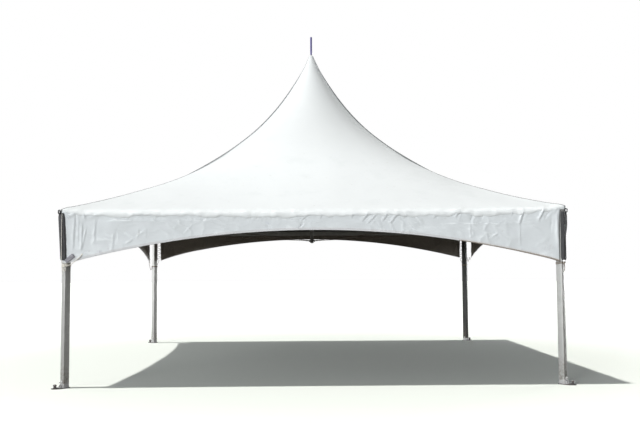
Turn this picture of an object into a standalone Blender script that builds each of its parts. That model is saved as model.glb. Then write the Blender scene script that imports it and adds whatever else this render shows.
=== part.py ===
"""Square frame marquee, 20 ft by 20 ft, with one high peak.

Metres, +Z up. The origin is on the ground under the peak; the front faces -Y.
Four turned square legs carry corner blocks and eave beams. A centre mast, held by four
stay cables from the corner blocks, pushes the canopy up to its peak.
"""
import math

import bmesh
import bpy
from mathutils import Matrix, Vector

# Driving dimensions
LEG_AXIS = 2.965
LEG_SIDE = 0.075
EAVE = 3.03
EAVE_Z = 2.10
EAVE_SAG = 0.015
FABRIC = 0.004
VALANCE_T = 0.003
GAP = 0.0003
PLATE_L = 0.21
PLATE_W = 0.12
PLATE_T = 0.008
PLATE_OUT = 0.06
PIN_OUT = 0.125
BLOCK_SIDE = 0.11
BLOCK_TOP = 2.0988
BLOCK_H = 0.125
BLOCK_CUT = 0.02
BEAM_W = 0.05
BEAM_H = 0.08
BEAM_TOP = 2.0975
HUB_Z = 1.79
HUB_H = 0.06
HUB_R = 0.029
MAST_R = 0.025
CROWN_Z = 4.50
CROWN_TOP = 4.72
SPIRE_R = 0.015
SPIRE_TIP = 5.054
HOLE_R = 0.0225
CABLE_R = 0.004
CABLE_DROP = 0.04
TIE_Z = 1.445
TIE_R = 0.006
TIE_TURN_R = 0.006
STRAP_T = 0.0025
STRAP_RIDGE = 0.025

# Height of the roof at stations from the peak (0) to the eave (1)
PROFILE = (
    (0.0, 4.81),
    (0.04, 4.545),
    (0.1, 4.24),
    (0.18, 3.90),
    (0.28, 3.562),
    (0.4, 3.246),
    (0.55, 2.905),
    (0.7, 2.59),
    (0.85, 2.33),
    (1.0, EAVE_Z),
)

# Each valance, seen from outside: its drop at mid span and at the corners, and how far
# it reaches to the left and to the right of its middle. Its ends slant by VALANCE_SLANT
VALANCE_SLANT = 0.02
VALANCES = {
    "front": (0.232, 0.653, 3.005, 2.955),
    "right": (0.18, 0.60, 2.99, 2.66),
    "rear": (0.14, 0.555, 2.905, 2.85),
    "left": (0.18, 0.60, 2.83, 2.99),
}
TURN = {"front": 0.0, "right": 90.0, "rear": 180.0, "left": 270.0}
CORNERS = {"fl": (-1, -1), "fr": (1, -1), "rl": (-1, 1), "rr": (1, 1)}


def clear_scene():
    for ob in list(bpy.data.objects):
        bpy.data.objects.remove(ob, do_unlink=True)


def material(name, colour, rough, metal):
    mat = bpy.data.materials.new(name)
    mat.use_nodes = True
    bsdf = mat.node_tree.nodes["Principled BSDF"]
    bsdf.inputs["Base Color"].default_value = (*colour, 1.0)
    bsdf.inputs["Roughness"].default_value = rough
    bsdf.inputs["Metallic"].default_value = metal
    return mat


def add_object(name, bm, mat, turn=0.0, smooth=False):
    """Link a mesh as an object, turned about the vertical through the peak."""
    bmesh.ops.recalc_face_normals(bm, faces=bm.faces)
    mesh = bpy.data.meshes.new(name)
    bm.to_mesh(mesh)
    bm.free()
    if smooth:
        mesh.shade_smooth()
        mesh.set_sharp_from_angle(angle=math.radians(35))
    mesh.materials.append(mat)
    ob = bpy.data.objects.new(name, mesh)
    ob.rotation_euler[2] = math.radians(turn)
    bpy.context.scene.collection.objects.link(ob)
    return ob


def closed_sheet(outer, inner):
    """A closed thin body between two grids of points of the same size."""
    bm = bmesh.new()
    rows, cols = len(outer), len(outer[0])
    a = [[bm.verts.new(p) for p in row] for row in outer]
    b = [[bm.verts.new(p) for p in row] for row in inner]
    for i in range(rows - 1):
        for j in range(cols - 1):
            bm.faces.new((a[i][j], a[i][j + 1], a[i + 1][j + 1], a[i + 1][j]))
            bm.faces.new((b[i][j], b[i + 1][j], b[i + 1][j + 1], b[i][j + 1]))
    for i in range(rows - 1):
        bm.faces.new((a[i][0], a[i + 1][0], b[i + 1][0], b[i][0]))
        bm.faces.new((a[i][-1], b[i][-1], b[i + 1][-1], a[i + 1][-1]))
    for j in range(cols - 1):
        bm.faces.new((a[0][j], b[0][j], b[0][j + 1], a[0][j + 1]))
        bm.faces.new((a[-1][j], a[-1][j + 1], b[-1][j + 1], b[-1][j]))
    return bm


def turned_profile(profile, sides, spin=0.0):
    """A solid of revolution about Z, from (radius, height) points that run upwards."""
    bm = bmesh.new()
    rings = []
    for r, z in profile:
        ring = []
        for k in range(sides):
            t = spin + 2 * math.pi * k / sides
            ring.append(bm.verts.new((r * math.cos(t), r * math.sin(t), z)))
        rings.append(ring)
    for low, high in zip(rings, rings[1:]):
        for k in range(sides):
            n = (k + 1) % sides
            bm.faces.new((low[k], low[n], high[n], high[k]))
    bm.faces.new(list(reversed(rings[0])))
    bm.faces.new(rings[-1])
    return bm


def box(size, centre, turn=0.0, chamfer=0.0):
    """A box, turned about the vertical through its centre, with its upright edges cut."""
    bm = bmesh.new()
    bmesh.ops.create_cube(bm, size=1.0)
    bmesh.ops.scale(bm, vec=size, verts=bm.verts)
    if chamfer:
        upright = [
            e for e in bm.edges if abs(e.verts[0].co.z - e.verts[1].co.z) > size[2] / 2
        ]
        bmesh.ops.bevel(
            bm, geom=upright, offset=chamfer, segments=1, profile=0.5, affect="EDGES"
        )
    place = Matrix.Translation(centre) @ Matrix.Rotation(math.radians(turn), 4, "Z")
    bmesh.ops.transform(bm, matrix=place, verts=bm.verts)
    return bm


def roof_height(m):
    """Height on the roof at a station between peak and eave, on smooth curves."""
    k = 0
    while k < len(PROFILE) - 2 and m > PROFILE[k + 1][0]:
        k += 1

    def slope(i):
        lo, hi = max(i - 1, 0), min(i + 1, len(PROFILE) - 1)
        first = (PROFILE[i][1] - PROFILE[lo][1]) / max(PROFILE[i][0] - PROFILE[lo][0], 1e-9)
        second = (PROFILE[hi][1] - PROFILE[i][1]) / max(PROFILE[hi][0] - PROFILE[i][0], 1e-9)
        if i == 0:
            return second
        if i == len(PROFILE) - 1:
            return first
        return (first + second) / 2

    (m0, z0), (m1, z1) = PROFILE[k], PROFILE[k + 1]
    h = m1 - m0
    u = (m - m0) / h
    return (
        (2 * u**3 - 3 * u**2 + 1) * z0
        + (u**3 - 2 * u**2 + u) * h * slope(k)
        + (3 * u**2 - 2 * u**3) * z1
        + (u**3 - u**2) * h * slope(k + 1)
    )


def roof_point(m, t):
    """Point of the front panel at station m and side position t from -1 to 1.

    Level rings of the roof are round at the peak and square at the eave.
    """
    length = math.hypot(t, 1.0)
    square = max(0.0, (m - 0.05) / 0.95)
    rho = EAVE * m / ((1 - square) + square / length)
    sag = EAVE_SAG * (1 - t * t) * max(0.0, (m - 0.7) / 0.3) ** 2
    return Vector((rho * t / length, -rho / length, roof_height(m) - sag))


def roof_inner(m, t):
    """The same point on the underside, one fabric thickness in along the slope's normal."""
    p = roof_point(m, t)
    step = 0.01
    low, high = roof_point(max(m - step, 0.0), t), roof_point(min(m + step, 1.0), t)
    run = (high.xy - low.xy).length
    fall = low.z - high.z
    out = p.xy.normalized()
    length = math.hypot(run, fall)
    back = FABRIC * fall / length
    return Vector((p.x - out.x * back, p.y - out.y * back, p.z - FABRIC * run / length))


def canopy_panel(name, turn, mat):
    first = HOLE_R / EAVE
    stations = [first, 0.02, 0.05, 0.1, 0.17, 0.26, 0.37, 0.5, 0.63, 0.76, 0.88, 1.0]
    sides = [-1 + k / 4 for k in range(9)]
    outer, inner = [], []
    for m in stations:
        top, under = [], []
        for t in sides:
            p, q = roof_point(m, t), roof_inner(m, t)
            top.append((p.x - t * GAP, p.y, p.z))
            under.append((q.x - t * GAP, q.y, q.z))
        outer.append(top)
        inner.append(under)
    return add_object(name, closed_sheet(outer, inner), mat, turn, smooth=True)


def valance(name, side, mat):
    """Hanging strip with an arched lower edge; its ends slant a little inwards."""
    mid, end, left, right = VALANCES[side]
    cols = 24
    outer, inner = [], []
    for row in range(4):
        v = row / 3
        front, back = [], []
        for k in range(cols + 1):
            x = (right + left - 2 * VALANCE_SLANT * v) * (k / cols - 0.5) + (right - left) / 2
            t = x / EAVE
            top = EAVE_Z - EAVE_SAG * (1 - t * t) - FABRIC - GAP
            low = EAVE_Z - EAVE_SAG - mid - (end - mid - EAVE_SAG) * t * t
            z = top + (low - top) * v
            front.append((x, -EAVE, z))
            back.append((x, -EAVE + VALANCE_T, z))
        outer.append(front)
        inner.append(back)
    return add_object(name, closed_sheet(outer, inner), mat, TURN[side])


def corner_strap(name, sx, sy, mat):
    """Webbing folded over the corner's ring: two bands side by side, joined at the top."""
    ridge, edge = EAVE + STRAP_RIDGE, EAVE + GAP + STRAP_T
    levels = ((1.495, 2.996, 0.031), (2.065, 3.016, 0.041), (2.099, 3.016, 0.041))
    bm = bmesh.new()
    grid = []
    for z, middle, width in levels:
        row = []
        for x, y in (
            (middle + width, edge),
            (middle + 0.002, ridge - 0.001),
            (middle - 0.002, ridge - 0.001),
            (middle - width, edge),
        ):
            row.append(
                (
                    bm.verts.new((sx * x, sy * y, z)),
                    bm.verts.new((sx * x, sy * (y - STRAP_T), z)),
                )
            )
        grid.append(row)
    cells = {(0, 0), (0, 2), (1, 0), (1, 1), (1, 2)}
    for i, j in cells:
        corner = [grid[i][j], grid[i][j + 1], grid[i + 1][j + 1], grid[i + 1][j]]
        bm.faces.new([c[0] for c in corner])
        bm.faces.new([c[1] for c in reversed(corner)])
        beside = (
            ((i - 1, j), 0, 1),
            ((i, j + 1), 1, 2),
            ((i + 1, j), 2, 3),
            ((i, j - 1), 3, 0),
        )
        for near, p, q in beside:
            if near not in cells:
                bm.faces.new((corner[p][0], corner[p][1], corner[q][1], corner[q][0]))
    return add_object(name, bm, mat)


def tube(name, points, radius, mat, cyclic=False, turn=0.0):
    """A round rope or cable along a line of points."""
    curve = bpy.data.curves.new(name, "CURVE")
    curve.dimensions = "3D"
    curve.bevel_depth = radius
    curve.bevel_resolution = 1
    curve.use_fill_caps = not cyclic
    spline = curve.splines.new("POLY")
    spline.points.add(len(points) - 1)
    for point, co in zip(spline.points, points):
        point.co = (*co, 1.0)
    spline.use_cyclic_u = cyclic
    curve.materials.append(mat)
    ob = bpy.data.objects.new(name, curve)
    ob.rotation_euler[2] = math.radians(turn)
    bpy.context.scene.collection.objects.link(ob)
    return ob


clear_scene()
vinyl = material("vinyl_white", (0.86, 0.87, 0.87), 0.45, 0.0)
webbing = material("webbing_dark", (0.05, 0.05, 0.053), 0.75, 0.0)
aluminium = material("aluminium", (0.60, 0.60, 0.59), 0.38, 1.0)
galvanised = material("galvanised_steel", (0.45, 0.46, 0.47), 0.5, 1.0)
wire = material("wire_rope", (0.30, 0.26, 0.24), 0.45, 1.0)
cord = material("tie_rope", (0.72, 0.68, 0.60), 0.9, 0.0)
spire_paint = material("spire_paint", (0.13, 0.11, 0.30), 0.4, 0.0)

for side, turn in TURN.items():
    canopy_panel("canopy_panel_" + side, turn, vinyl)
    valance("valance_" + side, side, vinyl)
    length = 2 * LEG_AXIS - BLOCK_SIDE - 2 * GAP
    centre = (0, -LEG_AXIS, BEAM_TOP - BEAM_H / 2)
    add_object("eave_beam_" + side, box((length, BEAM_W, BEAM_H), centre), aluminium, turn)

for tag, (sx, sy) in CORNERS.items():
    foot = Vector((sx * LEG_AXIS, sy * LEG_AXIS, 0))
    out = Vector((sx, sy, 0)).normalized()
    bearing = math.degrees(math.atan2(sy, sx))

    # Base plate, longer on the outer side, with the leg and the pin standing on it
    centre = foot + out * PLATE_OUT + Vector((0, 0, PLATE_T / 2))
    plate = box((PLATE_L, PLATE_W, PLATE_T), centre, bearing)
    add_object("base_plate_" + tag, plate, galvanised)

    pin = turned_profile(
        ((0.011, 0), (0.011, 0.026), (0.021, 0.029), (0.021, 0.038), (0.014, 0.046)), 16
    )
    at = foot + out * PIN_OUT + Vector((0, 0, PLATE_T + GAP))
    bmesh.ops.translate(pin, vec=at, verts=pin.verts)
    add_object("anchor_pin_" + tag, pin, galvanised, smooth=True)

    low = PLATE_T + GAP
    high = BLOCK_TOP - BLOCK_H - GAP
    centre = foot + Vector((0, 0, (low + high) / 2))
    post = box((LEG_SIDE, LEG_SIDE, high - low), centre, 45)
    add_object("leg_" + tag, post, aluminium)

    centre = foot + Vector((0, 0, BLOCK_TOP - BLOCK_H / 2))
    block = box((BLOCK_SIDE, BLOCK_SIDE, BLOCK_H), centre, 0, BLOCK_CUT)
    add_object("corner_block_" + tag, block, aluminium)

    corner_strap("corner_strap_" + tag, sx, sy, webbing)

    # Rope tie round the leg, just under the valance
    reach = LEG_SIDE / 2 + TIE_R + GAP
    loop = []
    for k in range(4):
        for step in range(3):
            a = math.radians(90 * k + 45 * step)
            corner = Vector(
                (
                    (reach - TIE_TURN_R) * (1 if k in (0, 3) else -1),
                    (reach - TIE_TURN_R) * (1 if k in (0, 1) else -1),
                )
            )
            p = corner + Vector((math.cos(a), math.sin(a))) * TIE_TURN_R
            p.rotate(Matrix.Rotation(math.radians(45), 2))
            loop.append((foot.x + p.x, foot.y + p.y, TIE_Z))
    tube("corner_tie_" + tag, loop, TIE_R, cord, cyclic=True)

    # Stay cable from the hub to the corner block's inner face
    start = out * (HUB_R * math.cos(math.pi / 8) + 0.0006) + Vector((0, 0, HUB_Z + HUB_H / 2))
    inner = math.sqrt(2) * (LEG_AXIS - BLOCK_SIDE / 2) + BLOCK_CUT / math.sqrt(2) - 0.0008
    end = out * inner + Vector((0, 0, BLOCK_TOP - CABLE_DROP))
    tube("stay_cable_" + tag, (start, end), CABLE_R, wire)

hub = turned_profile(
    ((HUB_R * 0.7, HUB_Z), (HUB_R, HUB_Z + 0.012), (HUB_R, HUB_Z + HUB_H)), 8, math.pi / 8
)
add_object("mast_hub", hub, galvanised)
mast = turned_profile(((MAST_R, HUB_Z + HUB_H + GAP), (MAST_R, CROWN_Z - GAP)), 20)
add_object("mast", mast, aluminium, smooth=True)

# Crown on the mast's head: a shallow cone just under the fabric
brim = roof_inner(0.085 / EAVE, 0.0).z - 0.012
crown = turned_profile(
    (
        (MAST_R + 0.004, CROWN_Z),
        (0.075, brim - 0.012),
        (0.075, brim),
        (0.030, CROWN_TOP - 0.012),
        (0.022, CROWN_TOP),
    ),
    20,
)
add_object("mast_crown", crown, aluminium, smooth=True)
spire = turned_profile(
    ((SPIRE_R, CROWN_TOP + GAP), (SPIRE_R, SPIRE_TIP - 0.01), (SPIRE_R * 0.6, SPIRE_TIP)), 16
)
add_object("spire", spire, spire_paint, smooth=True)
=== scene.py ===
"""Square frame marquee with one high peak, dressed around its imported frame.

Metres, +Z up. The origin is on the ground under the peak; the front faces -Y.
"""

import math
import random

import bmesh
import bpy
from mathutils import Matrix, Vector, noise


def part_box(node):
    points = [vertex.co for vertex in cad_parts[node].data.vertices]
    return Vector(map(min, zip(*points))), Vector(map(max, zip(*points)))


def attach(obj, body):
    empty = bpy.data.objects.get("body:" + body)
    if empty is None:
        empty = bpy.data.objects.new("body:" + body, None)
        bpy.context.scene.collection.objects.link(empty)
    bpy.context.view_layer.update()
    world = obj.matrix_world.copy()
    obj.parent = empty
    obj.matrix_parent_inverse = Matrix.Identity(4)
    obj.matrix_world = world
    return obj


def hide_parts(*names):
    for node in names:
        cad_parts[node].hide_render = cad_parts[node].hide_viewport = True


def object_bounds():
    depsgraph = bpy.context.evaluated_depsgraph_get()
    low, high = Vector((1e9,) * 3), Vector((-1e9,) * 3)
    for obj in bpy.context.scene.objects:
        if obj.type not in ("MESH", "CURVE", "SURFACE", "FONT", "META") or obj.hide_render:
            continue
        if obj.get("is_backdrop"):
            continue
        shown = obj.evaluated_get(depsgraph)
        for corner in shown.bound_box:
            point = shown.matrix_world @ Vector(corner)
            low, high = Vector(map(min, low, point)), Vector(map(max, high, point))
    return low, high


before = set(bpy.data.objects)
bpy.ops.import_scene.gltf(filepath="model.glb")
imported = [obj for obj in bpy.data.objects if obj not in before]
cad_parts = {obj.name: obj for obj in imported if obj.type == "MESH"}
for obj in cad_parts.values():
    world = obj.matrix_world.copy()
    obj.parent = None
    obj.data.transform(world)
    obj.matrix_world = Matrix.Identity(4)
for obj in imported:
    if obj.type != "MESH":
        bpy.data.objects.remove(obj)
cad_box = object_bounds()

# Camera, daylight and floor
# A standing eye ten metres from the front eave looks at the tent. A mild sun stands high on
# the left, wide soft light comes from the front left, and some more from the rear right.
scene = bpy.context.scene
scene.view_settings.view_transform = "Standard"

EYE = Vector((-0.150, -12.943, 1.402))
LOOK_RIGHT = math.radians(1.23)
LOOK_UP = math.radians(3.81)
ROLL = math.radians(-0.29)
ahead = Vector(
    (
        math.sin(LOOK_RIGHT) * math.cos(LOOK_UP),
        math.cos(LOOK_RIGHT) * math.cos(LOOK_UP),
        math.sin(LOOK_UP),
    )
)
level = Vector((math.cos(LOOK_RIGHT), -math.sin(LOOK_RIGHT), 0))
upright = level.cross(ahead)
across = level * math.cos(ROLL) + upright * math.sin(ROLL)
upward = upright * math.cos(ROLL) - level * math.sin(ROLL)
camera_data = bpy.data.cameras.new("camera")
camera_data.lens = 46.66
camera_data.clip_end = 300
camera = bpy.data.objects.new("camera", camera_data)
camera.matrix_world = (
    Matrix.Translation(EYE) @ Matrix((across, upward, -ahead)).transposed().to_4x4()
)
scene.collection.objects.link(camera)
scene.camera = camera


def far_light(name, travel, wide, power, tone):
    """Light from far off that travels in one direction, from a patch of sky this wide."""
    data = bpy.data.lights.new(name, "SUN")
    data.energy = power
    data.angle = math.radians(wide)
    data.color = tone
    far = bpy.data.objects.new(name, data)
    far.rotation_euler = Vector(travel).to_track_quat("-Z", "Y").to_euler()
    scene.collection.objects.link(far)


far_light("sun", (0.36, 0.03, -1.0), 2.0, 2.41, (1.0, 0.985, 0.96))
far_light("front_sky", (0.49, 0.865, -0.10), 12.0, 2.38, (0.97, 0.99, 1.0))
far_light("rear_sky", (-0.75, -0.65, -0.05), 14.0, 2.9, (0.97, 0.99, 1.0))

# The sky lights the tent from the left, and is white where the camera sees it
world = bpy.data.worlds.new("sky")
scene.world = world
world.use_nodes = True
nodes, links = world.node_tree.nodes, world.node_tree.links
nodes.clear()
direction = nodes.new("ShaderNodeTexCoord")
parts = nodes.new("ShaderNodeSeparateXYZ")
links.new(direction.outputs["Generated"], parts.inputs[0])
left_sky = nodes.new("ShaderNodeMapRange")
left_sky.interpolation_type = "SMOOTHSTEP"
left_sky.inputs["From Min"].default_value = -0.30
left_sky.inputs["From Max"].default_value = -0.95
left_sky.inputs["To Min"].default_value = 0.0
left_sky.inputs["To Max"].default_value = 0.76
links.new(parts.outputs["X"], left_sky.inputs["Value"])
both = nodes.new("ShaderNodeMath")
both.operation = "ADD"
both.inputs[0].default_value = 0.076
links.new(left_sky.outputs[0], both.inputs[1])
sky_light = nodes.new("ShaderNodeBackground")
sky_light.inputs["Color"].default_value = (0.94, 0.98, 1.0, 1.0)
links.new(both.outputs[0], sky_light.inputs["Strength"])
seen_sky = nodes.new("ShaderNodeBackground")
seen_sky.inputs["Color"].default_value = (1.0, 1.0, 1.0, 1.0)
ray = nodes.new("ShaderNodeLightPath")
pick = nodes.new("ShaderNodeMixShader")
links.new(ray.outputs["Is Camera Ray"], pick.inputs[0])
links.new(sky_light.outputs[0], pick.inputs[1])
links.new(seen_sky.outputs[0], pick.inputs[2])
sky_out = nodes.new("ShaderNodeOutputWorld")
links.new(pick.outputs[0], sky_out.inputs["Surface"])

# The floor is near white to the camera, and throws little light back up under the roof
bm = bmesh.new()
bmesh.ops.create_grid(bm, x_segments=2, y_segments=2, size=70)
floor_mesh = bpy.data.meshes.new("floor")
bm.to_mesh(floor_mesh)
bm.free()
floor_paint = bpy.data.materials.new("floor_pale")
floor_paint.use_nodes = True
nodes, links = floor_paint.node_tree.nodes, floor_paint.node_tree.links
ray = nodes.new("ShaderNodeLightPath")
tone = nodes.new("ShaderNodeMix")
tone.data_type = "RGBA"
tone.inputs["A"].default_value = (0.17, 0.165, 0.15, 1.0)
tone.inputs["B"].default_value = (0.962, 1.0, 0.942, 1.0)
links.new(ray.outputs["Is Camera Ray"], tone.inputs["Factor"])
links.new(tone.outputs["Result"], nodes["Principled BSDF"].inputs["Base Color"])
reach = nodes.new("ShaderNodeVectorMath")
reach.operation = "LENGTH"
links.new(nodes.new("ShaderNodeTexCoord").outputs["Object"], reach.inputs[0])
far_off = nodes.new("ShaderNodeMapRange")
far_off.interpolation_type = "SMOOTHSTEP"
far_off.inputs["From Min"].default_value = 3.8
far_off.inputs["From Max"].default_value = 9.0
far_off.inputs["To Min"].default_value = 0.008
far_off.inputs["To Max"].default_value = 0.35
links.new(reach.outputs["Value"], far_off.inputs["Value"])
glow = nodes.new("ShaderNodeMath")
glow.operation = "MULTIPLY"
links.new(far_off.outputs["Result"], glow.inputs[0])
links.new(ray.outputs["Is Camera Ray"], glow.inputs[1])
nodes["Principled BSDF"].inputs["Emission Color"].default_value = (1.0, 1.0, 1.0, 1.0)
links.new(glow.outputs[0], nodes["Principled BSDF"].inputs["Emission Strength"])
nodes["Principled BSDF"].inputs["Roughness"].default_value = 0.95
nodes["Principled BSDF"].inputs["Specular IOR Level"].default_value = 0.1
floor_mesh.materials.append(floor_paint)
floor = bpy.data.objects.new("floor", floor_mesh)
scene.collection.objects.link(floor)
floor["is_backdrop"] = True

# Base plates
# Flat steel feet, hot dip galvanised, each with its long end towards the outside of the
# corner. A short square socket and a gusseted angle are welded on, and the leg is bolted.
CORNERS = ("fl", "fr", "rl", "rr")
PLATE_LONG, PLATE_WIDE, PLATE_THICK = 0.21, 0.12, 0.008
PLATE_OUT = 0.06
SOCKET_SIDE, SOCKET_HIGH = 0.0775, 0.045
ANGLE_WIDE, ANGLE_HIGH = 0.046, 0.080
BOLT_HIGH = 0.068


def corner_place(tag):
    """Matrix of a corner: origin on the ground under the leg, +X straight outwards."""
    low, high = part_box("leg_" + tag)
    foot = (low + high) / 2
    turn = Matrix.Rotation(math.atan2(foot.y, foot.x), 4, "Z")
    return Matrix.Translation((foot.x, foot.y, 0)) @ turn


def bar_stock(size, corner, rim):
    """A block of metal with rounded upright corners and broken edges, on the origin."""
    bm = bmesh.new()
    bmesh.ops.create_cube(bm, size=1.0)
    bmesh.ops.scale(bm, vec=size, verts=bm.verts)
    upright = [e for e in bm.edges if abs(e.verts[0].co.z - e.verts[1].co.z) > size[2] / 2]
    bmesh.ops.bevel(
        bm, geom=upright, offset=corner, segments=4, profile=0.5, affect="EDGES", material=-1
    )
    rims = [
        e
        for e in bm.edges
        if abs(e.verts[0].co.z - e.verts[1].co.z) < 1e-6 and e.calc_face_angle(0) > 1.0
    ]
    bmesh.ops.bevel(
        bm, geom=rims, offset=rim, segments=2, profile=0.5, affect="EDGES", material=-1
    )
    return bm


def add_to(bm, other, matrix=Matrix.Identity(4)):
    """Put a second bmesh into the first at a place."""
    bmesh.ops.transform(other, matrix=matrix, verts=other.verts)
    shape = bpy.data.meshes.new("joined")
    other.to_mesh(shape)
    other.free()
    bm.from_mesh(shape)
    bpy.data.meshes.remove(shape)


def swept_line(points, radius, sides=12, lobes=0, pitch=0.03, groove=0.2, ripple=0.0, closed=False):
    """Draw a round section along a line of points; lobes twist around it like strands."""
    bm = bmesh.new()
    bmesh.ops.create_circle(bm, cap_ends=False, segments=sides, radius=radius)
    ring = list(bm.verts)
    edges = list(bm.edges)
    first = edges
    count = len(points)
    side = None
    travelled = 0.0
    for i, point in enumerate(points):
        if closed:
            heading = (points[(i + 1) % count] - points[i - 1]).normalized()
        else:
            heading = (points[min(i + 1, count - 1)] - points[max(i - 1, 0)]).normalized()
        if side is None:
            side = heading.orthogonal().normalized()
        side = (side - heading * side.dot(heading)).normalized()
        other = heading.cross(side)
        if i:
            travelled += (point - points[i - 1]).length
            made = bmesh.ops.extrude_edge_only(bm, edges=edges)["geom"]
            grown = [g for g in made if isinstance(g, bmesh.types.BMVert)]
            following = {}
            for v in grown:
                for e in v.link_edges:
                    near = e.other_vert(v)
                    if near in ring:
                        following[near] = v
            ring = [following[v] for v in ring]
            new = set(ring)
            edges = [e for v in ring for e in v.link_edges if e.other_vert(v) in new]
            edges = list(dict.fromkeys(edges))
        for k, v in enumerate(ring):
            angle = 2 * math.pi * k / sides
            reach = radius * (1 + ripple * math.sin(travelled / 0.0018))
            if lobes:
                phase = lobes * (angle - 2 * math.pi * travelled / pitch) / 2
                reach *= 1 - groove * (1 - abs(math.cos(phase)))
            v.co = point + side * (reach * math.cos(angle)) + other * (reach * math.sin(angle))
    if closed:
        bmesh.ops.bridge_loops(bm, edges=first + edges)
    else:
        bmesh.ops.holes_fill(bm, edges=[e for e in bm.edges if e.is_boundary], sides=0)
    bmesh.ops.recalc_face_normals(bm, faces=bm.faces)
    return bm


def smooth_route(points, step, closed=False):
    """Evenly spaced points on a smooth curve through the given ones."""
    knots = [Vector(p) for p in points]
    count = len(knots)
    fine = []
    spans = count if closed else count - 1
    for i in range(spans):
        if closed:
            p0, p1, p2, p3 = (knots[(i + j) % count] for j in (-1, 0, 1, 2))
        else:
            p0, p1, p2, p3 = (knots[min(max(i + j, 0), count - 1)] for j in (-1, 0, 1, 2))
        pieces = max(2, round((p2 - p1).length / step))
        for j in range(pieces):
            u = j / pieces
            fine.append(
                p1
                + (p2 - p0) * (u / 2)
                + (2 * p0 - 5 * p1 + 4 * p2 - p3) * (u * u / 2)
                + (3 * p1 - p0 - 3 * p2 + p3) * (u * u * u / 2)
            )
    if not closed:
        fine.append(knots[-1])
    return fine


def square_round(half, corner, height, turn, step):
    """Points round a square with round corners, level, about the leg's axis."""
    points = []
    for k in range(4):
        for j in range(5):
            a = math.radians(90 * k + 22.5 * j)
            cx = (half - corner) * (1 if k in (0, 3) else -1)
            cy = (half - corner) * (1 if k in (0, 1) else -1)
            points.append(Vector((cx + corner * math.cos(a), cy + corner * math.sin(a), height)))
    turned = Matrix.Rotation(turn, 3, "Z")
    return smooth_route([turned @ p for p in points], step, closed=True)


def hex_bolt(across_flats, head, shank, washer):
    """A hexagon head on a washer, along +Z from the face that it is drawn up to."""
    bm = bmesh.new()
    rad = across_flats / math.sqrt(3)
    bmesh.ops.create_cone(
        bm, cap_ends=True, segments=20, radius1=washer, radius2=washer, depth=0.0016,
        matrix=Matrix.Translation((0, 0, 0.0008)),
    )
    top = bmesh.new()
    bmesh.ops.create_cone(top, cap_ends=True, segments=6, radius1=rad, radius2=rad, depth=head)
    rims = [e for e in top.edges if e.verts[0].co.z > 0 and e.verts[1].co.z > 0]
    bmesh.ops.bevel(
        top, geom=rims, offset=head * 0.18, segments=2, profile=0.5, affect="EDGES", material=-1
    )
    add_to(bm, top, Matrix.Translation((0, 0, 0.0016 + head / 2)))
    if shank:
        tip = bmesh.new()
        bmesh.ops.create_cone(
            tip, cap_ends=True, segments=14, radius1=across_flats * 0.29,
            radius2=across_flats * 0.25, depth=shank,
        )
        add_to(bm, tip, Matrix.Translation((0, 0, 0.0016 + head + shank / 2)))
    bmesh.ops.recalc_face_normals(bm, faces=bm.faces)
    return bm


def fit_piece(name, bm, finishes, stands_for=(), corner=35):
    """Make the bmesh a piece of the tent that rides with it."""
    mesh = bpy.data.meshes.new(name)
    bm.to_mesh(mesh)
    bm.free()
    mesh.shade_smooth()
    mesh.set_sharp_from_angle(angle=math.radians(corner))
    for finish in finishes:
        mesh.materials.append(finish)
    piece = bpy.data.objects.new(name, mesh)
    scene.collection.objects.link(piece)
    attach(piece, "root")
    if stands_for:
        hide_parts(*stands_for)
    return piece


def node_group(name, inputs, outputs):
    """A new shader node group with its sockets, and its two end nodes."""
    group = bpy.data.node_groups.new(name, "ShaderNodeTree")
    for label, kind, value in inputs:
        socket = group.interface.new_socket(label, in_out="INPUT", socket_type=kind)
        if value is not None:
            socket.default_value = value
    for label, kind in outputs:
        group.interface.new_socket(label, in_out="OUTPUT", socket_type=kind)
    start = group.nodes.new("NodeGroupInput")
    end = group.nodes.new("NodeGroupOutput")
    return group, start, end


def join(group, source, target):
    """Link two sockets of a node group."""
    group.links.new(source, target)


def mottle_group():
    """Blotches between two edges of a noise: soil, stains, dull patches."""
    group, start, end = node_group(
        "mottle",
        [
            ("Vector", "NodeSocketVector", None),
            ("Scale", "NodeSocketFloat", 5.0),
            ("Low", "NodeSocketFloat", 0.4),
            ("High", "NodeSocketFloat", 0.7),
        ],
        [("Mask", "NodeSocketFloat")],
    )
    cloud = group.nodes.new("ShaderNodeTexNoise")
    cloud.inputs["Detail"].default_value = 6
    cloud.inputs["Roughness"].default_value = 0.62
    limits = group.nodes.new("ShaderNodeMapRange")
    limits.interpolation_type = "SMOOTHSTEP"
    join(group, start.outputs["Vector"], cloud.inputs["Vector"])
    join(group, start.outputs["Scale"], cloud.inputs["Scale"])
    join(group, cloud.outputs["Fac"], limits.inputs["Value"])
    join(group, start.outputs["Low"], limits.inputs["From Min"])
    join(group, start.outputs["High"], limits.inputs["From Max"])
    join(group, limits.outputs["Result"], end.inputs["Mask"])
    return group


MOTTLE = mottle_group()


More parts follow.
